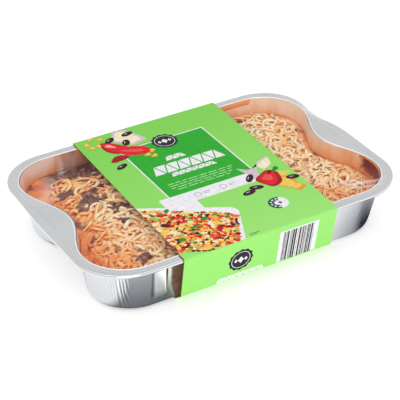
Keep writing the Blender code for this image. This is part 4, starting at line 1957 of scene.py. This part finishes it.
    def print_left_food(self, sheet: PrintSheet) -> None:
        """Loose vegetables at the panel's far left corner.

        Args:
            sheet: Top panel.
        """
        sheet.add(rounded([(-36, 80), (-27, 96), (-17, 92), (-8, 70), (-22, 66)], 3), Ink.LILAC, 1)
        sheet.add(rounded([(-33, 81), (-26, 93), (-18, 89), (-12, 72), (-23, 69)], 3), Ink.CREAM, 3)
        sheet.add(blob((-37.5, 69), (14, 7.2), -52, 0.12, 3), Ink.DEEP_RED, 3)
        sheet.add(blob((-37, 69.5), (12.4, 5.6), -52, 0.12, 3), Ink.RED, 4)
        sheet.add(blob((-26, 58), (14.5, 6.4), -28, 0.14, 2), Ink.RED, 4.4)
        sheet.add(blob((-27, 58.8), (9, 2.3), -28, 0.1, 3), Ink.CORAL, 5)
        sheet.add(blob((-40, 74), (4.6, 2.0), -50, 0.2, 3), Ink.PINK, 5)
        sheet.add(blob((-42, 53), (8.0, 4.2), 8, 0.12, 3), Ink.DEEP_RED, 3)
        for centre, angle in (((-36, 82.5), 30), ((-19, 85), 12), ((-26, 73), 60), ((-46, 41), 25)):
            sheet.add(blob(centre, (5.2, 3.0), angle, 0.06, 2), Ink.BEAN, 5)
            sheet.add(blob((centre[0] - 0.8, centre[1] + 0.7), (1.8, 0.45), angle, 0, 3), Ink.LILAC, 6)
        for centre, angle in (((-49, 92), 20), ((-55, 85.5), 75), ((-42, 88), 10), ((-47.5, 79), 50),
                              ((-53, 78.5), 0), ((-20, 47), 10), ((-14, 51), 60), ((-16, 43), 30)):
            sheet.add(blob(centre, (3.0, 2.1), angle, 0.12, 3), Ink.AMBER, 5)
            sheet.add(blob((centre[0] + 0.3, centre[1] + 0.4), (2.3, 1.5), angle, 0.12, 3), Ink.YELLOW, 6)

    def print_right_food(self, sheet: PrintSheet) -> None:
        """Loose vegetables at the panel's near right corner.

        Args:
            sheet: Top panel.
        """
        sheet.add(rounded([(27, -8), (35, -15), (57, -11), (58, -3.5), (46, -8), (34, -30)], 2.5),
                  Ink.LILAC, 2.5)
        sheet.add(rounded([(43, -12), (50, -9), (58, -5), (55, -16), (45, -21)], 2.5), Ink.CREAM, 3)
        sheet.add(blob((48, -43), (15, 7.5), -55, 0.08, 3), Ink.AMBER, 3)
        sheet.add(blob((47, -42), (13, 5.8), -55, 0.1, 3), Ink.YELLOW, 4)
        sheet.add(blob((54, -32), (6.5, 3.2), -20, 0.14, 3), Ink.YELLOW, 4.4)
        sheet.add(rounded([(30, -30), (47, -21), (53, -28), (49, -43), (38, -47)], 5), Ink.DEEP_RED, 5)
        sheet.add(rounded([(32, -31), (46, -23), (50, -28), (46, -41), (38, -44)], 4), Ink.RED, 6)
        sheet.add(rounded([(35, -32), (44, -26.5), (46, -31), (43, -38)], 3), Ink.CORAL, 7)
        sheet.add(blob((53, -24), (4.2, 1.9), 35, 0.2, 3), Ink.LEAF, 5.4)
        sheet.add(rounded([(49, -54), (57, -50), (61, -57), (53, -61)], 1.6), Ink.AMBER, 5)
        sheet.add(rounded([(49.5, -53.6), (56.6, -50.4), (58.5, -54.5), (51.4, -57.6)], 1.3), Ink.YELLOW, 6)
        for centre, angle in (((58.5, -41), -10), ((29, -26), 50), ((26.5, -40), -20), ((18, -43.5), 5)):
            sheet.add(blob(centre, (5.6, 3.0), angle, 0.06, 2), Ink.BEAN, 7)
            sheet.add(blob((centre[0] - 0.8, centre[1] + 0.7), (1.9, 0.45), angle, 0, 3), Ink.LILAC, 8)

    def print_roundel(self, sheet: PrintSheet) -> None:
        """White roundel with pine blocks along its upper side.

        Args:
            sheet: Top panel.
        """
        centre = (29.0, -66.7)
        sheet.add(blob(centre, (7.8, 7.8), steps=48), Ink.WHITE, 1)
        sheet.ring(centre, 7.8, 4.6, Ink.PINE, 2, 62, 262, 24)
        for angle in range(80, 260, 34):
            across, upward = (5.5 * turn(math.radians(angle)) for turn in (math.cos, math.sin))
            spot = (centre[0] + across, centre[1] + upward)
            sheet.add(blob(spot, (0.95, 0.95), angle, 0, 3, 6), Ink.WHITE, 3)
        sheet.add(blob((centre[0] + 1.4, centre[1] - 0.4), (1.4, 2.0), 15, 0, 3, 4), Ink.CHARCOAL, 3)

    def print_top(self) -> PrintSheet:
        """Lay out the top panel.

        Returns:
            The panel's sheet.
        """
        sheet = self.top_sheet()
        dish = DishPicture(sheet.origin)
        sheet.add(rounded(box(-46.0, -21.0, -44.0, -18.0), 1.2), Ink.WHITE, 0.5)
        sheet.add(dish.outline(dish.dish, 8.0), Ink.WHITE, 1.5)
        self.print_panel(sheet)
        self.print_seal(sheet, (1.5, 59.0), 10.6)
        self.print_left_food(sheet)
        self.print_right_food(sheet)
        self.print_roundel(sheet)
        sheet.add(box(-12.0, -3.0, -92.0, -91.4), Ink.PINE, 1)
        # Painted highlight: a light green line along the top panel's near fold.
        sheet.add(box(-14.0, 62.3, -95.0, -94.3), Ink.FOLD, 1)
        sheet.add(box(-12.0, -5.5, -93.6, -93.1), Ink.PINE, 1)
        return sheet

    def print_near(self) -> PrintSheet:
        """Lay out the near panel.

        Returns:
            The panel's sheet.
        """
        sheet = self.near_sheet()
        sheet.add(box(13.5, 47.5, -36.6, -6.0), Ink.WHITE, 1)
        rng = random.Random(self.seed + 1)
        spot = 17.0
        while spot < 44.0:
            width = rng.choice((0.35, 0.35, 0.7, 1.0, 1.4))
            sheet.add(box(spot, min(spot + width, 44.6), -36.6, -7.2), Ink.CHARCOAL, 2)
            spot += width + rng.choice((0.35, 0.45, 0.7, 1.05))
        self.print_seal(sheet, (-18.8, -20.0), 10.0)
        self.print_row(sheet, -37.5, 2.0, -37.2, -33.0, 13, 1)
        return sheet

    def build(self) -> None:
        """Build and dress the sleeve and its print."""
        board = BoardFinish("brown_board", srgb(255, 206, 160), srgb(176, 134, 104))
        cut = BoardFinish("cut_edge", srgb(140, 106, 80), srgb(100, 70, 52))
        green = GreenCardFinish()
        card = [green.build(), board.build(), cut.build()]
        finish_piece(self.build_band(), Slot.CARD, card, "carton_sleeve")
        inks = {ink: PrintFinish("ink_" + ink.name.lower(), ink.value).build() for ink in Ink}
        top = self.print_top()
        finish_piece(top.build("print_top", inks), Slot.CARD, [], "carton_sleeve")
        finish_piece(self.print_near().build("print_near", inks), Slot.CARD, [], "carton_sleeve")
        dish = DishPicture(top.origin)
        field_sheet = self.top_sheet()
        field_sheet.add(dish.outline(dish.food, 9.0), Ink.SAUCE, 2)
        finish_piece(field_sheet.build("dish_field", inks), Slot.CARD, [], "carton_sleeve")
        finish_piece(dish.build(), Slot.CARD, [], "carton_sleeve")


@dataclass
class Studio:
    """Pale floor with painted shade near the tray that only reflections see, soft lights and the camera."""

    floor_size: float = 6.0
    dimmed: tuple[float, float, float] = (0.085, 0.046, 0.0)
    dim_reach: tuple[float, float] = (0.034, 0.115)
    dim_left: tuple[tuple[float, float], ...] = ((0.10, 0.0), (0.125, 0.85), (0.275, 0.85), (0.30, 0.0))
    dim_right: tuple[float, float] = (-0.012, 0.026)
    place: tuple[float, float, float] = (-0.45325, -0.80711, 0.60299)
    elevation: float = 32.19
    azimuth: float = -29.3
    roll: float = -1.32
    lens: float = 126.41

    def build_floor(self) -> None:
        """Build the floor, darkened near the tray for glossy rays only as painted shade for the foil to
        reflect.
        """
        half = self.floor_size / 2
        points = np.array([(-half, -half, 0), (half, -half, 0), (half, half, 0), (-half, half, 0)])
        floor = add_object("studio_floor", make_mesh("studio_floor", points, [(0, 1, 2, 3)]))
        graph = Surface("studio_floor")
        place = graph.place()
        past = graph.vector("SUBTRACT", graph.vector("ABSOLUTE", place), self.dimmed)
        out = graph.vector("MAXIMUM", past, (0.0, 0.0, 0.0))
        distance = graph.add("ShaderNodeVectorMath", {0: out}, operation="LENGTH").outputs["Value"]
        near = graph.spread(distance, *self.dim_reach, 1.0, 0.0)
        axes = graph.axes(place)
        left = graph.ramp(graph.spread(axes["X"], -0.15, 0.15),
                          tuple((spot, (level, level, level, 1)) for spot, level in self.dim_left))
        right = graph.spread(graph.math("ADD", axes["X"], axes["Y"]), *self.dim_right, end=1.1)
        zones = graph.math("MAXIMUM", left, right)
        # Painted shade: glossy rays see the floor darkened near the tray, along the near side and past the
        # right corner, while the camera sees it pale.
        mirrored = graph.add("ShaderNodeLightPath").outputs["Is Glossy Ray"]
        dim = graph.math("MINIMUM", graph.math("MULTIPLY", near, zones), 1.0)
        shade = graph.math("MULTIPLY", dim, mirrored)
        pale = graph.mix(graph.uneven(3.0), (0.86, 0.86, 0.86, 1), (0.84, 0.84, 0.84, 1))
        floor.data.materials.append(graph.finish({
            "Base Color": graph.mix(shade, pale, (0.04, 0.055, 0.08, 1)),
            "Roughness": 0.9,
            "Specular IOR Level": 0.1,
            "Emission Color": graph.mix(shade, WHITE, BLACK),
            "Emission Strength": 0.4,
        }))

    def build_world(self) -> None:
        """Fill the room with soft light."""
        scene = bpy.context.scene
        world = bpy.data.worlds.new("soft_room")
        world.use_nodes = True
        sky = world.node_tree.nodes["Background"].inputs
        sky["Color"].default_value = WHITE
        sky["Strength"].default_value = 0.8
        scene.world = world
        scene.view_settings.view_transform = "Standard"
        scene.view_settings.look = "None"

    def add_light(self, name: str, place: tuple[float, float, float], size: float, power: float) -> None:
        """Add a square soft light that looks at the tray.

        Args:
            name: Its name.
            place: Where it is.
            size: Length of its side.
            power: Power in watts.
        """
        lamp = bpy.data.lights.new(name, "AREA")
        lamp.size = size
        lamp.energy = power
        item = bpy.data.objects.new(name, lamp)
        item.location = place
        item.rotation_euler = (-Vector(place)).to_track_quat("-Z", "Y").to_euler()
        bpy.context.scene.collection.objects.link(item)

    def build_camera(self) -> None:
        """Place the camera at the photograph's view."""
        high, turn, roll = (math.radians(v) for v in (self.elevation, self.azimuth, self.roll))
        back = Vector((math.sin(turn) * math.cos(high), -math.cos(turn) * math.cos(high), math.sin(high)))
        right = (-back).cross(Vector((0, 0, 1))).normalized()
        upward = right.cross(-back)
        rolled_right = right * math.cos(roll) + upward * math.sin(roll)
        rolled_up = upward * math.cos(roll) - right * math.sin(roll)
        data = bpy.data.cameras.new("photo_camera")
        data.lens = self.lens
        data.sensor_width = 36.0
        data.clip_start = 0.01
        camera = bpy.data.objects.new("photo_camera", data)
        turned = Matrix((rolled_right, rolled_up, back)).transposed().to_4x4()
        camera.matrix_world = Matrix.Translation(self.place) @ turned
        bpy.context.scene.collection.objects.link(camera)
        bpy.context.scene.camera = camera

    def build(self) -> None:
        """Set the stage."""
        self.build_floor()
        self.build_world()
        self.add_light("overhead", (0.1, 0.25, 1.3), 1.1, 3.0)
        self.add_light("front_fill", (-0.5, -1.2, 0.5), 0.9, 4.2)
        self.build_camera()


def main() -> None:
    """Build the meal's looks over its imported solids."""
    logging.basicConfig(level=logging.INFO, format="%(name)s: %(message)s")
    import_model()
    Studio().build()
    for piece in (TrayShell(), Filling(), GratedCheese(), SauceSmears(), SealedFilm(), CardSleeve()):
        piece.build()
        LOG.info("%s is done", type(piece).__name__)


if __name__ == "__main__":
    main()
